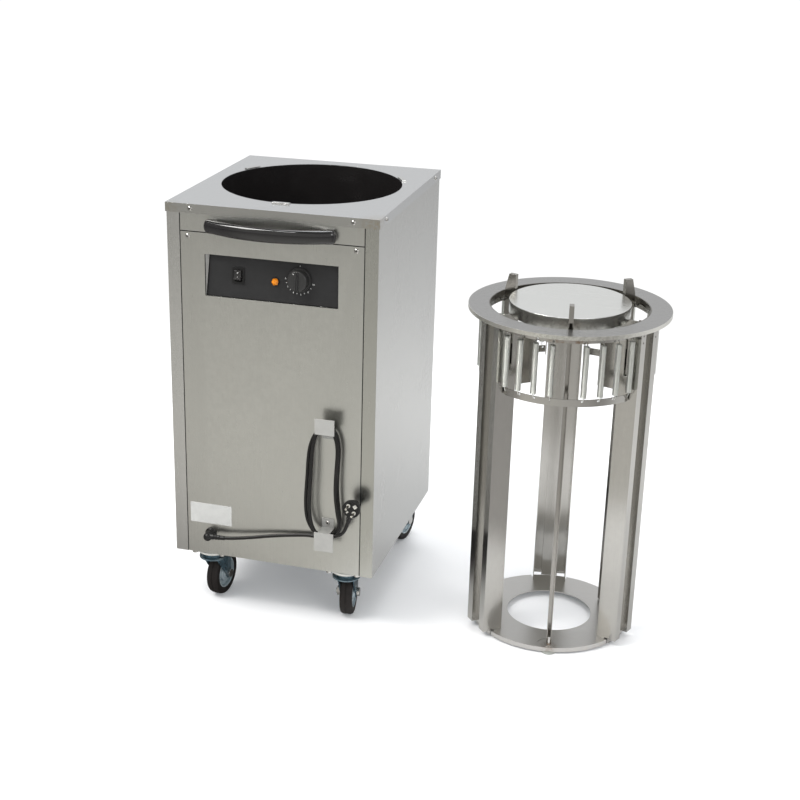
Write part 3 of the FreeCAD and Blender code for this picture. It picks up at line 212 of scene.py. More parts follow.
def makeRoomGroup():
    group, (spot,), end = newGroup("roomTone", [("Vector", "Vector", None)], [("Tone", "Color")])
    parts = put(group, "ShaderNodeSeparateXYZ", spot)
    compass = put(group, "ShaderNodeMath", parts.outputs[0], parts.outputs[1], operation="ARCTAN2")
    ramp = put(group, "ShaderNodeValToRGB", spread(group, compass.outputs[0], -math.pi, math.pi))
    ramp.color_ramp.interpolation = "EASE"
    while len(ramp.color_ramp.elements) < len(roomTones):
        ramp.color_ramp.elements.new(0.5)
    for element, (at, tone) in zip(ramp.color_ramp.elements, roomTones):
        element.position, element.color = at, (*tone, 1)
    wire(group, end, ramp.outputs[0])
    return group


roomTone = makeRoomGroup()


def makeWorld(look):
    world = bpy.data.worlds.new("studio")
    bpy.context.scene.world = world
    world.use_nodes = True
    tree = world.node_tree
    tree.nodes.clear()
    where = put(tree, "ShaderNodeTexCoord").outputs["Generated"]
    room = place(tree, roomTone, where)
    rays = put(tree, "ShaderNodeLightPath")
    height = put(tree, "ShaderNodeSeparateXYZ", where).outputs[2]
    dim = spread(tree, height, look["dimFrom"], look["dimTo"], look["skyLift"], look["ceiling"],
                 interpolation_type="SMOOTHSTEP")
    soft = put(tree, "ShaderNodeBackground", (1.0, 1.0, 1.0, 1), look["worldDiffuse"])
    seen = put(tree, "ShaderNodeBackground", room.outputs[0], dim)
    clear = put(tree, "ShaderNodeBackground", Strength=look["backdrop"])
    glossy = put(tree, "ShaderNodeMixShader", rays.outputs["Is Glossy Ray"], soft.outputs[0], seen.outputs[0])
    shown = put(tree, "ShaderNodeMixShader", rays.outputs["Is Camera Ray"], glossy.outputs[0], clear.outputs[0])
    put(tree, "ShaderNodeOutputWorld", shown.outputs[0])


def makeFloor(look):
    bm = bmesh.new()
    bmesh.ops.create_grid(bm, x_segments=1, y_segments=1, size=look["floorHalf"])
    mesh = bpy.data.meshes.new("studioFloor")
    bm.to_mesh(mesh)
    bm.free()
    floor = bpy.data.objects.new("studioFloor", mesh)
    bpy.context.scene.collection.objects.link(floor)
    material = bpy.data.materials.new("paperFloor")
    material.use_nodes = True
    tree = material.node_tree
    tree.nodes.clear()
    where = put(tree, "ShaderNodeTexCoord").outputs["Object"]
    room = place(tree, roomTone, where).outputs[0]
    rays = put(tree, "ShaderNodeLightPath")
    inView = rays.outputs["Is Camera Ray"]
    # what the steel sees of the paper: clear near the patch, the room's tone further out
    patch = spread(tree, distance(tree, where, look["patchPlace"]), look["patchNear"], look["patchFar"],
                   interpolation_type="SMOOTHSTEP")
    away = length(tree, where)
    lift = spread(tree, away, look["liftNear"], look["liftFar"], look["floorNear"], look["floorFar"])
    dimmed = mixColour(tree, 1.0, mixColour(tree, patch, (1, 1, 1), room), lift, blend_type="MULTIPLY")
    paper = look["floorWhite"]
    white = mixColour(tree, rays.outputs["Is Glossy Ray"], (paper, paper, paper * 1.01), dimmed)
    diffuse = put(tree, "ShaderNodeBsdfDiffuse", white)
    # far from the object the paper is lit to plain white
    far = spread(tree, away, look["nearFloor"], look["farFloor"], interpolation_type="SMOOTHSTEP")
    glow = put(tree, "ShaderNodeEmission", Strength=look["farGlow"])
    fill = put(tree, "ShaderNodeEmission", look["shadowGlow"], inView)
    filled = put(tree, "ShaderNodeAddShader", diffuse.outputs[0], fill.outputs[0])
    both = put(tree, "ShaderNodeMixShader", times(tree, far, inView), filled.outputs[0], glow.outputs[0])
    put(tree, "ShaderNodeOutputMaterial", both.outputs[0])
    mesh.materials.append(material)


# name: place, aim, width, height, watts, colour
softboxes = {"keyBox": ((-2.2, -1.6, 3.6), (0, 0, 0.3), 1.8, 1.8, 105, (1, 0.985, 0.96)),
             "topBox": ((0.2, 0.9, 3.9), (0, 0, 0.6), 2.8, 1.6, 70, (0.97, 0.985, 1)),
             "stripBox": ((-0.9, -1.7, 3.1), (-0.3, 0, 0.8), 1.5, 0.16, 16, (1, 1, 1)),
             "fillBox": ((2.8, -2.6, 2.2), (0, 0, 0.5), 1.6, 1.6, 22, (1, 1, 1))}


def makeLights():
    for name, (spot, aim, wide, tall, watts, tint) in softboxes.items():
        data = bpy.data.lights.new(name, "AREA")
        data.shape, data.size, data.size_y = "RECTANGLE", wide, tall
        data.energy, data.color = watts, tint
        lamp = bpy.data.objects.new(name, data)
        lamp.location = spot
        lamp.rotation_euler = (Vector(spot) - Vector(aim)).to_track_quat("Z", "Y").to_euler()
        bpy.context.scene.collection.objects.link(lamp)
    scene = bpy.context.scene
    scene.view_settings.view_transform = "Standard"
    scene.view_settings.look = "None"


makeWorld(studio)
makeFloor(studio)
makeLights()
print("camera, floor and light made")


# shared surface effects


def makeGrainGroup():
    # brushed or rolled streaks: a fine one and a broad one, mixed by Wander
    group, (spot, fineness, wander), end = newGroup(
        "sheetGrain", [("Vector", "Vector", None), ("Fineness", "Float", 800.0), ("Wander", "Float", 0.35)],
        [("Streak", "Float"), ("Height", "Float")])
    fine = noise(group, spot, fineness, 3.0, Roughness=0.65)
    broad = noise(group, spot, times(group, fineness, 0.07), 2.0, Roughness=0.5)
    streak = put(group, "ShaderNodeMix", wander, None, fine, broad, data_type="FLOAT")
    wire(group, end, streak.outputs[0], fine)
    return group


def makeSmearGroup():
    # finger marks and wiped patches
    group, (spot, size, low, high), end = newGroup(
        "smears", [("Vector", "Vector", None), ("Size", "Float", 7.0), ("Low", "Float", 0.45),
                   ("High", "Float", 0.75)], [("Mask", "Float")])
    cloud = noise(group, spot, size, 5.0, Roughness=0.6, Distortion=0.6)
    wire(group, end, spread(group, cloud, low, high))
    return group


def makeWearAndHighlightGroup():
    # edges made bright, broken up so the line isn't even: rubbed wear, and on the fork also a painted highlight
    group, (spot, low, high, breakup), end = newGroup(
        "edgeWearAndHighlight", [("Vector", "Vector", None), ("From", "Float", 0.52), ("To", "Float", 0.62),
                     ("Breakup", "Float", 90.0)], [("Mask", "Float")])
    sharpness = put(group, "ShaderNodeNewGeometry").outputs["Pointiness"]
    chips = spread(group, noise(group, spot, breakup, 4.0), 0.35, 0.65, 0.25)
    wire(group, end, times(group, spread(group, sharpness, low, high), chips))
    return group


def makeDustGroup():
    # dust settles on faces that look up
    group, (spot, amount), end = newGroup(
        "settledDust", [("Vector", "Vector", None), ("Amount", "Float", 0.3)], [("Mask", "Float")])
    up = spread(group, facing(group, 2), 0.3, 1.0)
    wire(group, end, times(group, times(group, up, noise(group, spot, 60.0, 6.0)), amount))
    return group


def makeTintGroup():
    # blotches round one place: straw and brown left by a weld or a drip, and over the flange's front a broad
    # painted shade
    group, (spot, centre, reach), end = newGroup(
        "weldTintAndShade", [("Vector", "Vector", None), ("Place", "Vector", None), ("Reach", "Float", 0.03)],
        [("Mask", "Float")])
    near = spread(group, distance(group, spot, centre), None, reach, 1.0, 0.0)
    blots = spread(group, noise(group, spot, 140.0, 5.0, Roughness=0.7), 0.4, 0.6)
    wire(group, end, times(group, near, blots))
    return group


sheetGrain, smears, edgeWearAndHighlight = makeGrainGroup(), makeSmearGroup(), makeWearAndHighlightGroup()
settledDust, weldTintAndShade = makeDustGroup(), makeTintGroup()


def blankMaterial(name):
    material = bpy.data.materials.new(name)
    material.use_nodes = True
    tree = material.node_tree
    return material, tree, tree.nodes["Principled BSDF"], put(tree, "ShaderNodeTexCoord").outputs["Object"]


def layer(tree, base, over, mask, share=1.0):
    return mixColour(tree, mask if share == 1.0 else times(tree, mask, share), base, over)


def shade(tone, gain, lift=0.0):
    return tuple(min(1.0, c * gain + lift) for c in tone)


def makeMetal(name, tone, rough, stretch=(1, 1, 0.012), fineness=3200.0, contrast=0.035, roughSpan=0.05,
              bump=0.008, smearShare=0.04, wearAndHighlight=0.25, tintsAndShade=(), paintedFrontShade=None, paintedBands=()):
    material, tree, shader, spot = blankMaterial(name)
    stretched = put(tree, "ShaderNodeMapping", spot, Scale=stretch)
    grain = place(tree, sheetGrain, stretched.outputs[0], fineness, 0.15)
    streak = grain.outputs["Streak"]
    colour = layer(tree, shade(tone, 1 - contrast), shade(tone, 1 + contrast), spread(tree, streak, 0.35, 0.65))
    smear = place(tree, smears, spot).outputs[0]
    colour = layer(tree, colour, shade(tone, 0.8), smear, smearShare)
    colour = layer(tree, colour, shade(tone, 1.25), place(tree, edgeWearAndHighlight, spot).outputs[0], wearAndHighlight)
    if paintedFrontShade:
        # painted shade: faces that look out of the front, such as the folded return and the lid's skirt, get a
        # darker tone
        colour = layer(tree, colour, paintedFrontShade, spread(tree, facing(tree, 1), -0.5, -0.9))
    for low, high, stainAndPaintedLight in paintedBands:
        # a band of another tone between two distances from the cage's axis; on the flange, painted shade at the
        # inner edge and a painted highlight at the outer rim
        flat = put(tree, "ShaderNodeVectorMath", spot, (1, 1, 0), (-cagePlace.x, -cagePlace.y, 0),
                   operation="MULTIPLY_ADD")
        inside = put(tree, "ShaderNodeMath", length(tree, flat.outputs[0]), (low + high) / 2 * mm,
                     (high - low) / 2 * mm, operation="COMPARE")
        colour = layer(tree, colour, stainAndPaintedLight, inside.outputs[0])
    for at, reach, stainAndPaintedLight, share in tintsAndShade:
        colour = layer(tree, colour, stainAndPaintedLight, place(tree, weldTintAndShade, spot, at, reach).outputs[0], share)
    gloss = spread(tree, streak, 0.3, 0.7, rough - roughSpan / 2, rough + roughSpan / 2)
    dulled = put(tree, "ShaderNodeMath", smear, 0.03, gloss, operation="MULTIPLY_ADD")
    ridges = put(tree, "ShaderNodeBump", Strength=bump, Distance=0.0002, Height=grain.outputs["Height"])
    wire(tree, shader, Base_Color=colour, Roughness=dulled.outputs[0], Normal=ridges.outputs[0], Metallic=1.0)
    return material


def makePlastic(name, tone, rough, grainSize=900.0, bump=0.08, mottle=0.15, wearAndHighlight=0.2, wornAndHighlightTone=None, coat=0.0,
                dust=0.0, dustTone=(0.35, 0.33, 0.30), metallic=0.0, smearShare=0.3, specular=0.5):
    material, tree, shader, spot = blankMaterial(name)
    skin = noise(tree, spot, grainSize, 3.0)
    smear = place(tree, smears, spot, 14.0).outputs[0]
    colour = layer(tree, shade(tone, 1 - mottle), shade(tone, 1 + mottle), skin)
    colour = layer(tree, colour, shade(tone, 1.35, 0.004), smear, smearShare)
    colour = layer(tree, colour, wornAndHighlightTone or shade(tone, 1.8, 0.02), place(tree, edgeWearAndHighlight, spot).outputs[0], wearAndHighlight)
    if dust:
        colour = layer(tree, colour, dustTone, place(tree, settledDust, spot, dust).outputs[0])
    gloss = put(tree, "ShaderNodeMapRange", smear, To_Min=rough - 0.04, To_Max=rough + 0.1)
    pits = put(tree, "ShaderNodeBump", Strength=bump, Distance=0.0003, Height=skin)
    wire(tree, shader, Base_Color=colour, Roughness=gloss.outputs[0], Normal=pits.outputs[0],
         Metallic=metallic, Coat_Weight=coat, Specular_IOR_Level=specular)
    return material


brown, straw = (0.20, 0.10, 0.035), (0.42, 0.33, 0.18)


def cageSpot(angle, radius, z):
    a = math.radians(angle)
    return tuple(onCage(radius * math.cos(a), radius * math.sin(a), z))


weldMarks = [(cageSpot(280 + s, 170, 680), 0.026, brown, 0.9) for s in (-8, 7)]
weldMarks += [(cageSpot(280, 158, 14), 0.02, brown, 0.8)]
weldMarks += [(cageSpot(338, 150, 22), 0.03, brown, 0.8), (cageSpot(338, 155, 52), 0.024, brown, 0.5)]
cornerTints = [(tuple(onCart(218, -240, 890)), 0.045, straw, 0.55),
               (tuple(onCart(-218, -240, 890)), 0.03, straw, 0.35)]

# name, maker, tone, roughness, what differs from the maker's plain look
finishTable = (
    # frontSteel, sideSteel, rightSteel and topSteel are copies of one brushed steel with tones set apart as
    # painted light and shade: the front darker and warmer, the sides and top lighter
    ("frontSteel", makeMetal, (0.585, 0.585, 0.555), 0.29, dict(tintsAndShade=cornerTints)),
    ("sideSteel", makeMetal, (0.62, 0.62, 0.605), 0.25, dict()),
    ("rightSteel", makeMetal, (0.61, 0.61, 0.595), 0.25, dict(paintedFrontShade=(0.51, 0.51, 0.475))),
    ("topSteel", makeMetal, (0.63, 0.635, 0.64), 0.23, dict(stretch=(0.012, 1, 1), tintsAndShade=cornerTints,
     paintedFrontShade=(0.535, 0.535, 0.515))),
    # cageSteel, flangeSteel, guideSteel, ringSteel and platformSteel are copies of one steel with tones set apart
    # as painted light and shade: the platform painted bright, the flange painted dark
    ("cageSteel", makeMetal, (0.505, 0.495, 0.47), 0.16, dict(stretch=(1, 1, 0.02), fineness=1500.0,
     contrast=0.05, tintsAndShade=weldMarks, wearAndHighlight=0.35)),
    # the flange's bands are painted shade along its inner edge and a painted highlight along its outer rim
    ("flangeSteel", makeMetal, (0.40, 0.396, 0.39), 0.28, dict(stretch=(0.02, 1, 1),
     paintedBands=((159, 162, (0.17, 0.16, 0.14)), (203.3, 206, (0.8, 0.79, 0.74))),
     # the last entry is a broad painted shade over the flange's front
     tintsAndShade=weldMarks + [(cageSpot(285, 190, 707), 0.17, (0.27, 0.265, 0.235), 0.5)])),
    ("guideSteel", makeMetal, (0.40, 0.385, 0.36), 0.2, dict(stretch=(1, 1, 0.02), fineness=1500.0,
     contrast=0.08, tintsAndShade=weldMarks, wearAndHighlight=0.5)),
    ("ringSteel", makeMetal, (0.62, 0.61, 0.59), 0.3, dict(stretch=(0.02, 1, 1), fineness=1800.0,
     tintsAndShade=weldMarks)),
    ("platformSteel", makeMetal, (0.83, 0.835, 0.81), 0.25, dict(stretch=(0.015, 1, 1))),
    ("galvanisedSheet", makeMetal, (0.52, 0.53, 0.53), 0.45, dict(stretch=(1, 1, 1), fineness=60.0,
     contrast=0.18, bump=0.03)),
    ("wellEnamel", makePlastic, (0.012, 0.011, 0.011), 0.22, dict(grainSize=300.0, bump=0.02, coat=0.3)),
    ("charcoalPaint", makePlastic, (0.018, 0.018, 0.0185), 0.5, dict(grainSize=1500.0, bump=0.1, specular=0.3)),
    ("blackPlastic", makePlastic, (0.009, 0.009, 0.009), 0.34, dict(grainSize=1400.0, specular=0.35)),
    ("glossBlack", makePlastic, (0.009, 0.0085, 0.009), 0.12, dict(grainSize=500.0, bump=0.004, coat=0.6,
     specular=0.6, smearShare=0.15, wearAndHighlight=0.1)),
    ("amberLens", makePlastic, (0.62, 0.19, 0.008), 0.08, dict(grainSize=300.0, bump=0.02)),
    ("whitePlate", makePlastic, (0.45, 0.455, 0.44), 0.4, dict(grainSize=400.0, bump=0.02, mottle=0.04)),
    # the fork's bright worn edges are partly painted highlight
    ("blueZinc", makePlastic, (0.075, 0.125, 0.155), 0.2, dict(grainSize=160.0, bump=0.03, mottle=0.7,
     metallic=0.4, specular=0.8, wearAndHighlight=0.6, wornAndHighlightTone=(0.5, 0.56, 0.58))),
    ("hubZinc", makePlastic, (0.40, 0.48, 0.52), 0.25, dict(grainSize=160.0, bump=0.03, mottle=0.3,
     metallic=0.4, specular=0.8, wearAndHighlight=0.5, wornAndHighlightTone=(0.66, 0.69, 0.69))),
    ("screwSteel", makeMetal, (0.62, 0.61, 0.59), 0.22, dict(stretch=(1, 1, 1), fineness=700.0)),
    ("hookSteel", makePlastic, (0.365, 0.365, 0.35), 0.38, dict(grainSize=500.0, bump=0.03, mottle=0.05,
     metallic=0.25)),
    ("blackRubber", makePlastic, (0.013, 0.010, 0.009), 0.62, dict(grainSize=700.0, bump=0.2, dust=0.12,
     wearAndHighlight=0.3, specular=0.3)),
    ("cordBlack", makePlastic, (0.010, 0.0095, 0.009), 0.4, dict(bump=0.06, specular=0.3)),
    ("plugBlack", makePlastic, (0.010, 0.010, 0.010), 0.36, dict(bump=0.06, specular=0.35)),
    ("clipMetal", makePlastic, (0.55, 0.54, 0.50), 0.3, dict(grainSize=400.0, bump=0.02, metallic=0.3)),
    ("nickel", makeMetal, (0.78, 0.75, 0.68), 0.2, dict(stretch=(1, 1, 1), fineness=400.0)),
    ("springZinc", makeMetal, (0.76, 0.77, 0.74), 0.3, dict(stretch=(1, 1, 0.05), fineness=500.0,
     contrast=0.08, bump=0.0)),
    ("whiteNylon", makePlastic, (0.70, 0.69, 0.64), 0.45, dict(grainSize=400.0, bump=0.04, mottle=0.05)),
    ("heaterSheath", makeMetal, (0.30, 0.29, 0.28), 0.45, dict(stretch=(1, 1, 1), fineness=120.0, contrast=0.2)),
    ("footGrey", makePlastic, (0.33, 0.345, 0.32), 0.2, dict(grainSize=200.0, bump=0.02, mottle=0.1, coat=0.4)),
    ("sealBlack", makePlastic, (0.006, 0.006, 0.006), 0.7, dict(bump=0.05, specular=0.2)),
    ("knobBlack", makePlastic, (0.022, 0.022, 0.0215), 0.36, dict(grainSize=1400.0, bump=0.06)),
    ("liningGrey", makePlastic, (0.32, 0.32, 0.305), 0.35, dict(grainSize=600.0, bump=0.02, metallic=0.3)),
    ("markWhite", makePlastic, (0.62, 0.62, 0.60), 0.5, dict(grainSize=800.0, bump=0.02, mottle=0.03)),
)
finishes = {name: make(name, tone, rough, **extra) for name, make, tone, rough, extra in finishTable}
print("finishes made:", len(finishes))


# making pieces


def finishPiece(name, bm, body, finish, replaced=(), sharp=38, weighted=True, at=None):
    if at is not None:
        bmesh.ops.transform(bm, matrix=at, verts=bm.verts)
    mesh = bpy.data.meshes.new(name)
    bm.to_mesh(mesh)
    bm.free()
    mesh.materials.append(finishes[finish])
    mesh.polygons.foreach_set("use_smooth", [True] * len(mesh.polygons))
    mesh.set_sharp_from_angle(angle=math.radians(sharp))
    piece = bpy.data.objects.new(name, mesh)
    bpy.context.scene.collection.objects.link(piece)
    if weighted:
        normals = piece.modifiers.new("evenNormals", "WEIGHTED_NORMAL")
        normals.keep_sharp = True
    if body:
        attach(piece, body)
    if replaced:
        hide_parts(*replaced)
    return piece


def bevelHard(bm, width, segments=2, sharp=30):
    hard = [e for e in bm.edges if e.is_manifold and e.calc_face_angle(0) > math.radians(sharp)]
    bmesh.ops.bevel(bm, geom=hard, offset=width * mm, offset_type="OFFSET", segments=segments, profile=0.5,
                    affect="EDGES", clamp_overlap=True, material=-1)


def easedMesh(node, width):
    # a merged copy of a CAD node with its hard edges rounded a little
    bm = bmesh.new()
    bm.from_mesh(nodes[node].data)
    bmesh.ops.remove_doubles(bm, verts=bm.verts, dist=2e-6)
    bmesh.ops.dissolve_limit(bm, angle_limit=math.radians(1.0), verts=bm.verts, edges=bm.edges)
    bevelHard(bm, width)
    bmesh.ops.remove_doubles(bm, verts=bm.verts, dist=1e-6)
    return bm


def turnedMesh(profile, steps=48, closed=True):
    # a profile of (radius, height) in mm turned about Z
    bm = bmesh.new()
    corners = [bm.verts.new((r * mm, 0, z * mm)) for r, z in profile]
    pairs = list(zip(corners, corners[1:])) + ([(corners[-1], corners[0])] if closed else [])
    edges = [bm.edges.new(pair) for pair in pairs]
    bmesh.ops.spin(bm, geom=corners + edges, cent=(0, 0, 0), axis=(0, 0, 1), dvec=(0, 0, 0),
                   angle=2 * math.pi, steps=steps, use_merge=True, use_duplicate=False)
    bmesh.ops.remove_doubles(bm, verts=bm.verts, dist=1e-6)
    bmesh.ops.recalc_face_normals(bm, faces=bm.faces)
    return bm


def addMesh(bm, other, matrix=None, keep=False):
    # puts another bmesh's shape into this one, and frees it unless it is wanted again
    mesh = bpy.data.meshes.new("part")
    other.to_mesh(mesh)
    if matrix is not None:
        mesh.transform(matrix)
    bm.from_mesh(mesh)
    bpy.data.meshes.remove(mesh)
    if not keep:
        other.free()


def addBlock(bm, matrix, x, y, z):
    size = Matrix.Diagonal((x * mm, y * mm, z * mm, 1))
    bmesh.ops.create_cube(bm, size=1, matrix=matrix @ size)


def joinRings(bm, rings):
    # closed rings of edges, bridged one to the next and capped at both ends
    for one, other in zip(rings, rings[1:]):
        bmesh.ops.bridge_loops(bm, edges=one + other)
    for ring in (rings[0], rings[-1]):
        bmesh.ops.contextual_create(bm, geom=ring)
    bmesh.ops.recalc_face_normals(bm, faces=bm.faces)


def edgesOf(verts):
    return list({e for v in verts for e in v.link_edges})


def tubeThrough(bm, points, radius, sides=8):
    # a tube with its rings on the points; points in metres
    rings = []
    for i, point in enumerate(points):
        before, after = points[max(i - 1, 0)], points[min(i + 1, len(points) - 1)]
        way = (after - before).normalized()
        turned = way.to_track_quat("Z", "Y" if abs(way.y) < 0.9 else "X").to_matrix().to_4x4()
        size = radius[i] if isinstance(radius, (list, tuple)) else radius
        made = bmesh.ops.create_circle(bm, cap_ends=False, segments=sides, radius=size,
                                       matrix=Matrix.Translation(point) @ turned)
        rings.append(edgesOf(made["verts"]))
    joinRings(bm, rings)


# cord
cordLook = {"diameter": 7.5, "depth": -249, "under": 228.8, "over": 460.2, "layer": 7.8, "bulge": 7}


def hankRoute(look):
    # two turns round the hook stems; each climbs a layer forward down its left-hand run
    under, over, layer = look["under"], look["over"], look["layer"]

    def bulge(z):
        # the runs stand a little off the panel between the hooks
        return look["bulge"] * max(0.0, 1 - ((z - 345) / 100) ** 2)

    route = [(106, look["depth"], 213.8), (132, look["depth"], 215), (148, look["depth"], 224)]
    # right-hand run upwards, over the upper stem, left-hand run downwards, under the lower stem
    turns = (((154, 252), (151.5, 285), (147.5, 330), (149.5, 380), (151, 420), (145, 449), (133, over + 5)),
             ((155, 250), (149.5, 282), (145.5, 328), (147.5, 378), (149.5, 418), (144, 447), (132, over + 5)))
    falls = (((114, over + 5), (102.5, over - 6), (91, 432), (86, 404), (84.5, 352), (81, 300), (82.5, 262),
              (92, 236), (107, under - 5)),
             ((113, over + 5), (103.5, over - 7), (97.5, 430), (95.5, 404), (94.5, 352), (91.5, 300),
              (93, 262), (99, 238), (111, under - 4.2)))
    for turn, (climb, fall) in enumerate(zip(turns, falls)):
        y = look["depth"] - turn * layer
        route += [(x, y - bulge(z), z) for x, z in climb]
        for step, (x, z) in enumerate(fall):
            route.append((x, y - layer * min(1.0, step / 6) - bulge(z), z))
        if turn == 0:
            route += [(133, y - layer, under - 5), (148, y - layer, under + 6)]
    return route


leadRoute = [(-124, -259, 182.4), (-97, -259, 183.6), (-67, -257.5, 188.2), (-36, -255, 193.7),
             (-6, -252.5, 200.3), (26, -250, 205.7), (56, -248, 210.2), (82, -246.5, 213.4)]
tailRoute = [(135.5, -263.6, 225.5), (149.5, -263.6, 228.8), (163.1, -265, 236.9), (171.39, -267.6, 252.05),
             (176.08, -267.6, 268.4)]


def makeCord():
    route = [onCart(*p) for p in leadRoute + hankRoute(cordLook) + tailRoute]
    curve = bpy.data.curves.new("cord_run", "CURVE")
    curve.dimensions = "3D"
    curve.bevel_depth = cordLook["diameter"] / 2 * mm
    curve.bevel_resolution = 5
    curve.use_fill_caps = True
    line = curve.splines.new("NURBS")
    line.points.add(len(route) - 1)
    for point, spot in zip(line.points, route):
        point.co = (*spot, 1)
    line.order_u = 3
    line.use_endpoint_u = True
    line.resolution_u = 8
    curve.materials.append(finishes["cordBlack"])
    cord = bpy.data.objects.new("cord_run", curve)
    bpy.context.scene.collection.objects.link(cord)
    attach(cord, "cabinet")
    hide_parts("cord_lead", "cord_hank", "cord_tail")
    return cord, route


cord, cordRoute = makeCord()
glandLook = {"x": -140, "z": 181, "out": -259, "flange": 12.6, "body": 9.2, "reach": 28.5}


def makeGland(look):
    # a rounded elbow on a collar; the lead leaves it to the right
    body, reach = look["body"], look["reach"]
    bm = turnedMesh([(0, reach), (body * 0.45, reach - 0.5), (body * 0.8, reach - 2.6), (body, reach - 6.5),
                     (body, 7), (body + 0.8, 4.6), (look["flange"] - 0.8, 3.6), (look["flange"], 2.6),
                     (look["flange"], 0), (0, 0)], steps=40)
    finishPiece("gland_elbow", bm, "cabinet", "blackPlastic", ("cord_gland",),
                at=Matrix.Translation(onCart(look["x"], panelFace, look["z"])) @ outward)


def makeSleeve(look):
    # the tapered strain relief where the lead leaves the gland, with three grooves
    bm = bmesh.new()
    start = onCart(look["x"], look["out"], look["z"] + 0.9)
    stations = [4, 14, 14.6, 16.4, 17, 21, 21.6, 23.4, 24, 28, 28.6, 30.4, 31, 37, 39, 39.5]
    sizes = [6.3, 5.9, 5.0, 5.0, 5.7, 5.5, 4.8, 4.8, 5.4, 5.2, 4.6, 4.6, 5.0, 4.5, 4.3, 3.8]
    points = [start + Vector((s, 0, 0.04 * s)) * mm for s in stations]
    tubeThrough(bm, points, [r * mm for r in sizes], sides=24)
    return finishPiece("cord_sleeve", bm, "cabinet", "blackPlastic", sharp=50)


makeGland(glandLook)
sleeve = makeSleeve(glandLook)
print("cord made")

# sheet pieces: merged copies with eased edges
# node: edge width in mm, slot, finish
easedSheets = {
    "lid": (1.1, "brushed_stainless", "topSteel"),
    "well_clips": (0.4, "brushed_stainless", "sideSteel"),
    "side_panel_left": (0.5, "brushed_stainless", "sideSteel"),
    "side_panel_right": (0.5, "brushed_stainless", "rightSteel"),
    "front_panel": (0.4, "brushed_stainless", "frontSteel"),
    "crossbar": (0.4, "brushed_stainless", "frontSteel"),
    "back_panel": (0.4, "brushed_stainless", "sideSteel"),
    "floor_pan": (0.4, "galvanised_sheet", "galvanisedSheet"),
    "well_liner": (0.3, "well_black", "wellEnamel"),
    "control_frame": (0.3, "brushed_stainless", "frontSteel"),
    "control_fascia": (0.3, "charcoal_paint", "charcoalPaint"),
    "switch_housing": (0.4, "black_plastic", "blackPlastic"),
    "rocker": (0.4, "gloss_black", "glossBlack"),
    "thermostat_body": (0.8, "galvanised_sheet", "galvanisedSheet"),
    "rating_plate": (0.12, "white_plate", "whitePlate"),
    "cord_hook_upper": (0.5, "brushed_stainless", "hookSteel"),
    "cord_hook_lower": (0.5, "brushed_stainless", "hookSteel"),
    "caster_plates": (0.4, "blue_zinc", "blueZinc"),
    "caster_bolts": (0.4, "screw_steel", "screwSteel"),
    "flange_ring": (0.45, "cage_stainless", "flangeSteel"),
    "base_ring": (0.35, "cage_stainless", "ringSteel"),
    "columns": (0.3, "cage_stainless", "cageSteel"),
    "spring_hangers": (0.3, "cage_stainless", "cageSteel"),
    "spring_strips": (0.3, "cage_stainless", "cageSteel"),
    "cage_feet": (0.8, "white_nylon", "footGrey"),
    "platform": (0.9, "cage_stainless", "platformSteel"),
    "platform_spider": (0.4, "cage_stainless", "cageSteel"),
    "carriage_brackets": (0.3, "cage_stainless", "cageSteel"),
    "glide_shoes": (0.4, "white_nylon", "whiteNylon"),
    "heating_element": (0.2, "heater_sheath", "heaterSheath"),
}
for i in (1, 2, 3):
    easedSheets["plate_guide_%d" % i] = (0.35, "cage_stainless", "guideSteel")
for corner in corners:
    easedSheets["caster_fork_" + corner] = (0.6, "blue_zinc", "blueZinc")
    easedSheets["caster_axle_" + corner] = (0.5, "screw_steel", "screwSteel")

for node, (width, slotName, finish) in easedSheets.items():
    finishPiece(node + "_eased", easedMesh(node, width), nodes[node]["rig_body"], finish, (node,))
print("sheet pieces eased:", len(easedSheets))

gapShadeLook = {"half": 193.4, "low": 132.5, "high": 843.9, "top": 880, "wide": 2.2, "deep": 1.0,
            "proud": 0.1}


def makeGapShade(look):
    # painted shade of the gap round the front panel and up beside the crossbar: a thin black strip a little proud
    # of the sheet
    bm = bmesh.new()
    face = panelFace - look["proud"] + look["deep"] / 2
    half, low, high, top, wide = (look[k] for k in ("half", "low", "high", "top", "wide"))
    side = ((low + top) / 2, wide, top - low)
    for x, z, across, up in ((-half, *side), (half, *side), (0, high, half * 2 - wide, wide)):
        addBlock(bm, Matrix.Translation(onCart(x, face, z)), across, look["deep"], up)
    bevelHard(bm, 0.15, 1)
    finishPiece("panel_gap_shade", bm, "cabinet", "sealBlack")


makeGapShade(gapShadeLook)

# the steel wall of the window that shows beside the leaning fascia
liningLook = {"x": -140.45, "low": 714.5, "high": 799.2, "lowWide": 1.6, "highWide": 7.2, "lowDeep": 2.6,
              "highDeep": 9.2, "front": -239.3, "thick": 0.5, "seamRadius": 0.9, "seamAside": 0.3,
              "seamProud": 0.5}


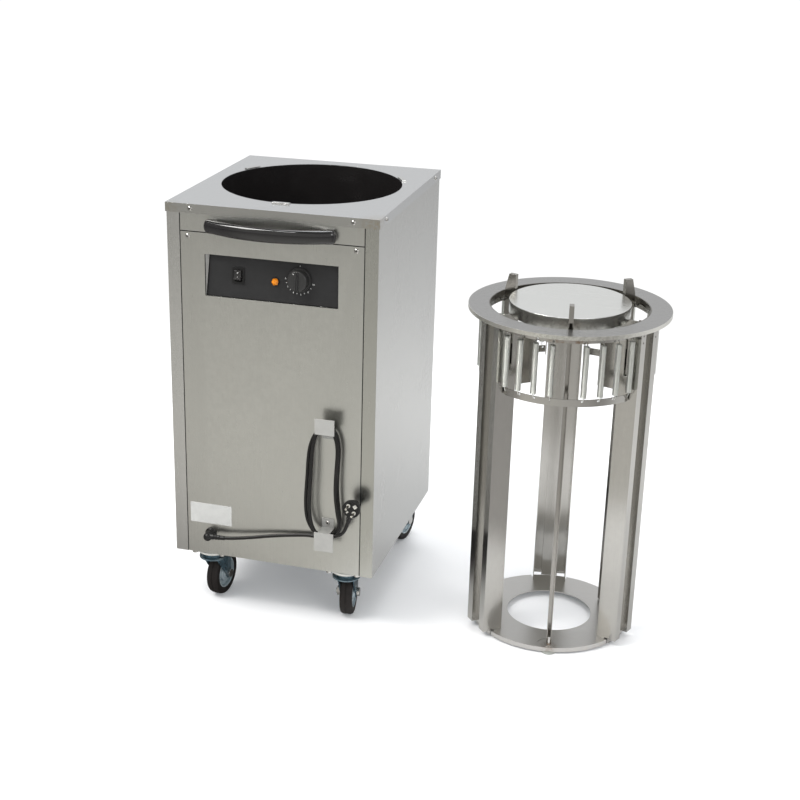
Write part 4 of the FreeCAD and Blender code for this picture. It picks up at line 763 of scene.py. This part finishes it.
def makeLining(look):
    bm = bmesh.new()
    x, front = look["x"], look["front"]
    spots = ((x, front, look["low"]), (x + look["lowWide"], front + look["lowDeep"], look["low"]),
             (x + look["highWide"], front + look["highDeep"], look["high"]), (x, front, look["high"]))
    bmesh.ops.contextual_create(bm, geom=[bm.verts.new(onCart(*spot)) for spot in spots])
    bmesh.ops.solidify(bm, geom=bm.faces[:], thickness=-look["thick"] * mm)
    bmesh.ops.recalc_face_normals(bm, faces=bm.faces)
    bevelHard(bm, 0.1, 1)
    finishPiece("window_lining", bm, "cabinet", "liningGrey")
    # painted shade: dark lines in the creases on both sides of the strip
    shadeLines = bmesh.new()
    for ends in ((spots[0], spots[3]), (spots[1], spots[2])):
        points = [onCart(x + look["seamAside"], y - look["seamProud"], z) for x, y, z in ends]
        tubeThrough(shadeLines, points, look["seamRadius"] * mm, sides=6)
    finishPiece("window_shade_lines", shadeLines, "cabinet", "sealBlack", weighted=False)


makeLining(liningLook)

# handle
handleLook = {"reach": 138, "bulge": 46, "thick": 14.5, "tall": 28, "level": 859.5, "foot": 24, "toe": 15,
              "endRound": 9, "endTall": 0.12, "endOut": 0.6, "squareness": 0.8, "screwX": 106,
              "screwOut": 8.6, "sides": 28, "stations": 72}


def makeHandle(look):
    reach, bulge = look["reach"], look["bulge"]

    def bow(half, low, high):
        radius = (half * half + (high - low) ** 2) / (2 * (high - low))
        return lambda x: low + math.sqrt(max(0, radius * radius - x * x)) - (radius - (high - low))

    outer = bow(reach, look["toe"], bulge)
    inner = bow(reach - look["foot"], 0, bulge - look["thick"])
    bm = bmesh.new()
    rings = []
    for i in range(look["stations"] + 1):
        x = -reach * math.cos(math.pi * i / look["stations"])
        x = math.copysign(min(abs(x), reach - 0.05), x)
        near = max(0.0, inner(x)) if abs(x) < reach - look["foot"] else 0.0
        out = outer(x)
        past = max(0.0, abs(x) - (reach - look["endRound"])) / look["endRound"]
        squeeze = math.sqrt(max(0.0, 1 - past * past))
        tall = look["tall"] * max(look["endTall"], squeeze)
        out *= look["endOut"] + (1 - look["endOut"]) * squeeze
        made = bmesh.ops.create_circle(bm, cap_ends=False, segments=look["sides"], radius=1)
        for v in made["verts"]:
            across, up = (math.copysign(abs(c) ** look["squareness"], c) for c in v.co.xy)
            v.co = onCart(x, panelFace - (near + out) / 2 - across * (out - near) / 2,
                          look["level"] + up * tall / 2)
        rings.append(edgesOf(made["verts"]))
    joinRings(bm, rings)
    finishPiece("handle_bow", bm, "cabinet", "glossBlack", ("handle",), sharp=60, weighted=False)
    # a pan-head screw sits in each foot's inner slope
    bm = bmesh.new()
    for side in (-1, 1):
        head = turnedMesh([(0, 1.6), (1.6, 1.5), (2.6, 0.9), (2.9, 0), (0, 0)], steps=20)
        spot = onCart(side * look["screwX"], panelFace - look["screwOut"], look["level"])
        addMesh(bm, head, Matrix.Translation(spot) @ outward)
    finishPiece("handle_screws", bm, "cabinet", "screwSteel")


makeHandle(handleLook)
print("handle made")

# casters
casterLook = {"trail": 38, "radius": 50, "x": 153, "y": 198,
              "yaw": {"front_left": 84, "front_right": 98, "back_left": 121, "back_right": 80},
              "tread": [(34, -11.5), (35.5, -12.9), (40, -13.5), (45.5, -13.5), (47.4, -12.6), (48.6, -11),
                        (49.6, -8.5), (50, -5), (50, -1.1), (48.9, -0.7), (48.9, 0.7), (50, 1.1), (50, 5),
                        (49.6, 8.5), (48.6, 11), (47.4, 12.6), (45.5, 13.5), (40, 13.5), (35.5, 12.9),
                        (34, 11.5)],
              "rim": [(31.2, -8), (31.2, -12.4), (32, -13), (34, -13), (34.6, -12.4), (34.6, 12.4), (34, 13),
                      (32, 13), (31.2, 12.4), (31.2, 8)],
              "cap": [(0, -15.2), (11.5, -15.2), (12.6, -14.4), (13.4, -12.8), (16, -12.4), (19.4, -10.6),
                      (20.2, -9.4), (20.2, 9.4), (19.4, 10.6), (16, 12.4), (13.4, 12.8), (12.6, 14.4),
                      (11.5, 15.2), (0, 15.2)],
              "core": [(19.5, -5.5), (29, -5.5), (30.6, -7), (31.8, -10), (31.8, 10), (30.6, 7), (29, 5.5),
                       (19.5, 5.5)],
              "cover": [(20, 127.2), (31, 127.2), (33.5, 125.6), (34.5, 122.5), (33, 121), (20, 121)]}


def casterMatrix(corner):
    sx = -1 if corner.endswith("left") else 1
    sy = -1 if corner.startswith("front") else 1
    spot = onCart(sx * casterLook["x"], sy * casterLook["y"], 0)
    return Matrix.Translation(spot) @ turn(casterLook["yaw"][corner], "Z")


def makeCasters(look):
    laid = shift(look["trail"], 0, look["radius"]) @ outward
    for corner in corners:
        spot = casterMatrix(corner)
        rim = turnedMesh(look["rim"], steps=56)
        addMesh(rim, turnedMesh(look["cap"], steps=40, closed=False))
        tread, core = turnedMesh(look["tread"], steps=72), turnedMesh(look["core"], steps=48)
        for bm, name, slotName, finish, gone in (
                (tread, "tyre_", "black_rubber", "blackRubber", ("caster_tyre_" + corner,)),
                (rim, "wheel_rim_", "blue_zinc", "hubZinc", ("caster_hub_" + corner,)),
                (core, "wheel_core_", "blue_zinc", "hubZinc", ())):
            finishPiece(name + corner, bm, "wheel_" + corner, finish, gone, at=spot @ laid)
        # the pale dust cover between the swivel head and its plate
        finishPiece("dust_cover_" + corner, turnedMesh(look["cover"], steps=48), "swivel_" + corner,
                    "whiteNylon", at=spot)


makeCasters(casterLook)
print("casters made")

# screws
screwLook = {"lidX": 170, "lidY": 195, "lidZ": 890.5, "lidFront": 241.5, "lidSide": 223.5, "panelX": 176.5,
             "panelZ": 834, "hookX": 124, "hookZ": (246, 445), "head": 5, "tall": 2.6}


def screwHead(look):
    r, h = look["head"], look["tall"]
    return turnedMesh([(0, h), (r * 0.3, h), (r * 0.62, h * 0.86), (r * 0.86, h * 0.55), (r, h * 0.12), (r, 0),
                       (0, 0)], steps=16)


def screwRecessShade(look):
    # painted shade of the cross recess: a black cross a little proud of the dome's middle
    bm = bmesh.new()
    long, thin = look["head"] * 0.9, look["head"] * 0.3
    for across, along in ((long, thin), (thin, long)):
        addBlock(bm, shift(0, 0, look["tall"] * 0.8), across, along, look["tall"] * 0.46)
    return bm


def makeScrews(look):
    bm, dark = bmesh.new(), bmesh.new()
    head, socket = screwHead(look), screwRecessShade(look)
    deep, wide = look["lidFront"], look["lidSide"]
    spots = []
    for side in (-1, 1):
        spots += [((side * look["lidX"], -deep, look["lidZ"]), outward),
                  ((side * look["lidX"], deep, look["lidZ"]), turn(-90, "X")),
                  ((wide, side * look["lidY"], look["lidZ"]), turn(90, "Y")),
                  ((-wide, side * look["lidY"], look["lidZ"]), turn(-90, "Y")),
                  ((side * look["panelX"], panelFace, look["panelZ"]), outward)]
    spots += [((look["hookX"], -deep, z), outward) for z in look["hookZ"]]
    for at, turned in spots:
        addMesh(bm, head, Matrix.Translation(onCart(*at)) @ turned, keep=True)
        addMesh(dark, socket, Matrix.Translation(onCart(*at)) @ turned, keep=True)
    head.free()
    socket.free()
    finishPiece("screw_recess_shade", dark, "cabinet", "blackPlastic", weighted=False)
    finishPiece("screw_heads", bm, "cabinet", "screwSteel", ("panel_screws",))


makeScrews(screwLook)

# controls
fasciaTilt = -4.6  # degrees, as the solid fascia leans
fasciaPlace = Matrix.Translation(onCart(0, -236.5, 713)) @ turn(fasciaTilt, "X")


def onFascia(x, y, z):
    return fasciaPlace @ shift(x, y, z)


knobLook = {"x": 58, "up": 50, "gap": 0.8, "tall": 20, "digitSize": 5.0, "digitRing": 29.5, "tickRing": 28.2,
            "digits": (("0", 270), ("2", 238), ("4", 206), ("6", 174), ("8", 142), ("10", 104))}


def makeKnob(look):
    tall = look["tall"]
    bm = turnedMesh([(0, tall - 1), (17.5, tall - 1), (19.6, tall - 1.8), (20.8, tall - 3.6), (22.2, 5.2),
                     (22.6, 4.4), (24, 4.0), (24.5, 3.2), (24.5, 0), (0, 0)], steps=72)
    bar = bmesh.new()
    addBlock(bar, shift(0, 0, tall), 8, 38, 4.4)
    tip = [v for v in bar.verts if v.co.z > tall * mm]
    bmesh.ops.scale(bar, vec=(0.55, 0.98, 1), verts=tip)
    bevelHard(bar, 0.5, 2)
    addMesh(bm, bar)
    matrix = onFascia(look["x"], -look["gap"], look["up"]) @ outward
    finishPiece("knob_dial", bm, "knob", "knobBlack", ("thermostat_knob",), at=matrix)
    # a black strip along the bar's top, painted shade for the bar's shadow side, and the white spot that shows
    # the setting
    line = bmesh.new()
    addBlock(line, matrix @ shift(0, 0, tall + 1.9), 1.7, 37, 0.9)
    finishPiece("knob_shade_line", line, "knob", "sealBlack", weighted=False)
    spot = turnedMesh([(0, 0.35), (1.5, 0.3), (1.7, 0), (0, 0)], steps=3)
    finishPiece("knob_spot", spot, "knob", "markWhite", weighted=False,
                at=matrix @ shift(-7.2, 14.2, tall - 1))


makeKnob(knobLook)


def textMesh(text, size):
    data = bpy.data.curves.new("digit", "FONT")
    data.body, data.size, data.extrude = text, size * mm, 0.00008
    data.align_x, data.align_y = "CENTER", "CENTER"
    holder = bpy.data.objects.new("digit", data)
    bpy.context.scene.collection.objects.link(holder)
    bpy.context.view_layer.update()
    mesh = bpy.data.meshes.new_from_object(holder.evaluated_get(bpy.context.evaluated_depsgraph_get()))
    bpy.data.objects.remove(holder)
    bpy.data.curves.remove(data)
    return mesh


def makeDialMarks(look):
    bm = bmesh.new()
    centre = onFascia(look["x"], -0.1, look["up"]) @ outward

    def at(clock, radius):
        a = math.radians(clock)
        return centre @ shift(math.sin(a) * radius, math.cos(a) * radius, 0)

    for digit, clock in look["digits"]:
        mesh = textMesh(digit, look["digitSize"])
        mesh.transform(at(clock, look["digitRing"]))
        bm.from_mesh(mesh)
        bpy.data.meshes.remove(mesh)
    clocks = [c for _, c in look["digits"]]
    for clock in [(a + b) / 2 for a, b in zip(clocks, clocks[1:])] + [0]:
        addBlock(bm, at(clock, look["tickRing"]) @ turn(-clock, "Z"), 0.7, 3.0, 0.16)
    finishPiece("dial_marks", bm, "cabinet", "markWhite", weighted=False)


makeDialMarks(knobLook)
lampLook = {"x": 7, "up": 42, "facets": 16}


def makeLamp(look):
    lens = turnedMesh([(0, 2), (7.2, 0.6), (7.2, -14), (0, -14)], steps=look["facets"])
    jewel = bmesh.new()
    bmesh.ops.create_icosphere(jewel, subdivisions=1, radius=7.8 * mm, matrix=Matrix.Translation(
        (0, 0, 1.6 * mm)) @ Matrix.Rotation(0.5, 4, "Z") @ Matrix.Rotation(0.35, 4, "X"))
    addMesh(lens, jewel)
    matrix = onFascia(look["x"], 0, look["up"]) @ outward
    finishPiece("lamp_lens", lens, "cabinet", "amberLens", ("pilot_lamp",), sharp=12,
                weighted=False, at=matrix)
    bezel = turnedMesh([(7.2, 0), (8.8, 0), (8.8, 1.1), (8.3, 1.8), (7.2, 1.8)], steps=40)
    finishPiece("lamp_bezel", bezel, "cabinet", "blackPlastic", at=matrix)


makeLamp(lampLook)
rockerLook = {"x": -71.5, "up": 47, "tilt": -12, "pivot": 3, "surface": -9.2, "curve": 22, "markRise": 4.2}


def makeRockerMarks(look):
    # plain on and off marks on the paddle: a bar and a ring
    pivot = onFascia(look["x"], look["pivot"], look["up"]) @ turn(look["tilt"], "X")
    curve, rise = look["curve"], look["markRise"]
    out = look["surface"] - (curve - math.sqrt(curve * curve - rise * rise))
    bm = bmesh.new()
    addBlock(bm, pivot @ shift(0, out, -rise) @ outward, 0.6, 2.6, 0.2)
    ring = turnedMesh([(1.0, -0.1), (1.45, -0.1), (1.45, 0.12), (1.0, 0.12)], steps=20)
    addMesh(bm, ring, pivot @ shift(0, out, rise) @ outward)
    finishPiece("rocker_marks", bm, "rocker", "markWhite", weighted=False)


makeRockerMarks(rockerLook)
print("controls made")

# plug
plugLook = {"x": 186, "z": 303, "front": -282, "face": 18.8, "back": 13.5, "deep": 24, "pinAcross": 5.98,
            "pinRise": 7.38, "pin": 2.4, "pinLength": 19, "bossEnd": (176.08, -267.6, 268.4)}


def makePlug(look):
    face = Matrix.Translation(onCart(look["x"], look["front"], look["z"])) @ outward
    r, back, deep = look["face"], look["back"], look["deep"]
    shell = turnedMesh([(0, -0.8), (15.4, -0.8), (16, 0), (r - 0.6, 0), (r, -0.8), (r, -7.5), (r - 0.8, -9.5),
                        (back + 1, -14), (back, -17), (back - 1.5, -deep), (0, -deep)], steps=56)
    shell.transform(face)
    # the boss that the lead comes out of, with its grip ribs
    end, centre = Vector(look["bossEnd"]), Vector((look["x"], look["front"] + 11.5, look["z"]))
    stations = [0, 0.08, 0.1, 0.17, 0.19, 0.27, 0.29, 0.37, 0.39, 0.5, 0.75]
    sizes = [5.0, 5.2, 4.9, 5.0, 6.0, 6.2, 5.6, 5.8, 6.8, 7.6, 9.0]
    points = [onCart(*(end + (centre - end) * s)) for s in stations]
    tubeThrough(shell, points, [size * mm for size in sizes], sides=24)
    body = finishPiece("plug_shell", shell, "cabinet", "plugBlack", ("plug_body",))
    pins, clips = bmesh.new(), bmesh.new()
    for across, rise in ((-1, 1), (1, -1)):
        spot = face @ shift(across * look["pinAcross"], rise * look["pinRise"], 0)
        pin = turnedMesh([(0, look["pinLength"]), (1.5, look["pinLength"]), (2.2, look["pinLength"] - 0.8),
                          (look["pin"], look["pinLength"] - 1.8), (look["pin"], -4), (0, -4)], steps=24)
        addMesh(pins, pin, spot)
        collar = turnedMesh([(2.5, -0.7), (4.1, -0.7), (4.1, 0.3), (3.7, 0.6), (2.5, 0.6)], steps=28)
        addMesh(clips, collar, spot)
    for along, across, wide, tall in ((1, 1, 7.2, 7.2), (-1, -1, 5.2, 3.4)):
        way = Vector((look["pinRise"], look["pinAcross"], 0)).normalized() * 10.6 * along
        turned = Matrix.Rotation(math.atan2(look["pinAcross"], look["pinRise"]), 4, "Z")
        frameSpot = face @ Matrix.Translation(way * mm) @ turned
        block = bmesh.new()
        addBlock(block, shift(0, 0, -0.2), wide, tall, 1.4)
        top = [f for f in block.faces if f.normal.z > 0.9]
        bmesh.ops.inset_region(block, faces=top, thickness=1.3 * mm)
        bmesh.ops.translate(block, verts=list({v for f in top for v in f.verts}), vec=(0, 0, -1.1 * mm))
        addMesh(clips, block, frameSpot)
    pinPiece = finishPiece("plug_pin_pair", pins, "cabinet", "nickel", ("plug_pins",))
    clipPiece = finishPiece("plug_clips", clips, "cabinet", "clipMetal", weighted=False)
    return [body, pinPiece, clipPiece]


plugPieces = makePlug(plugLook)
print("plug made")

# springs
springLook = {"radius": 174.6, "coil": 6.2, "wire": 0.8, "low": 572, "high": 679, "first": 10.7, "step": 11,
              "banks": (280, 40, 160), "perTurn": 10, "loopIn": 163.5, "strip": 562, "hanger": 685}


def springMesh(look):
    # close-wound wire: a small section spun up a helix, with a hook to the strip at each end
    bm = bmesh.new()
    pitch = 2.05 * look["wire"]
    turns = int((look["high"] - look["low"]) / pitch) - 1
    made = bmesh.ops.create_circle(bm, cap_ends=False, segments=5, radius=look["wire"] * mm,
                                   matrix=shift(look["coil"] - look["wire"], 0, look["low"] + look["wire"])
                                   @ outward)
    section = made["verts"] + edgesOf(made["verts"])
    bmesh.ops.spin(bm, geom=section, cent=(0, 0, 0), axis=(0, 0, 1),
                   dvec=(0, 0, pitch / look["perTurn"] * mm), angle=2 * math.pi * turns,
                   steps=turns * look["perTurn"], use_merge=False, use_duplicate=False)
    for level, hole, way in ((look["low"], look["strip"], 1), (look["high"], look["hanger"], -1)):
        inner = look["loopIn"] - look["radius"]
        path = [Vector(p) * mm for p in ((4.8, 0, level + way * 1.6), (2.4, 0, level + way * 0.2),
                                         (0.4, 0, level - way * 2.0), (-0.6, 0, (level + hole) / 2 - way * 1),
                                         (-2.0, 0, hole + way * 0.9), (-4.5, 0, hole + way * 0.25),
                                         (inner + 2.5, 0, hole), (inner, 0, hole + way * 0.5))]
        tubeThrough(bm, path, look["wire"] * mm, sides=6)
    bmesh.ops.recalc_face_normals(bm, faces=bm.faces)
    return bm


def makeSprings(look):
    one = springMesh(look)
    for number, bank in enumerate(look["banks"], 1):
        bm = bmesh.new()
        for side in (1, -1):
            for i in range(4):
                angle = bank + side * (look["first"] + look["step"] * i)
                addMesh(bm, one, Matrix.Translation(cagePlace) @ turn(angle, "Z")
                        @ shift(look["radius"], 0, 0), keep=True)
        springs = finishPiece("spring_bank_%d" % number, bm, None, "springZinc", weighted=False,
                              replaced=("extension_springs",) if number == 1 else ())
        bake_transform(springs)
    one.free()


makeSprings(springLook)
print("springs made")

# feet of the plate guides
footLook = {"pivot": 156, "angles": (280, 40, 160), "pad": 16.5, "ring": 14}


def makeGuideFeet(look):
    pads = bmesh.new()
    for number, angle in enumerate(look["angles"], 1):
        a = math.radians(angle)
        spot = Matrix.Translation(onCage(look["pivot"] * math.cos(a), look["pivot"] * math.sin(a), 0))
        pad = turnedMesh([(0, 0), (look["pad"] - 1.5, 0), (look["pad"], 1.2), (look["pad"] - 0.6, 2.8),
                          (9, 3.9), (0, 3.9)], steps=40)
        addMesh(pads, pad, spot)
        fixing = turnedMesh([(3, look["ring"]), (8, look["ring"]), (8, look["ring"] + 1.1),
                             (3, look["ring"] + 1.1)], steps=32)
        nut = turnedMesh([(3.05, 0), (6.6, 0), (6.6, 1.7), (3.05, 1.7)], steps=6)
        addMesh(fixing, nut, shift(0, 0, look["ring"] + 1.1))
        stem = turnedMesh([(0, 8), (2.9, 8), (2.9, 33), (2.2, 34.2), (0, 34.4)], steps=20, closed=False)
        addMesh(fixing, stem)
        finishPiece("guide_fixing_%d" % number, fixing, "guide_%d" % number, "screwSteel", at=spot)
    finishPiece("foot_pads", pads, "cage", "footGrey")


makeGuideFeet(footLook)
print("guide feet made")

for node, thing in nodes.items():
    if not thing.hide_render:
        print("left as packed:", node)
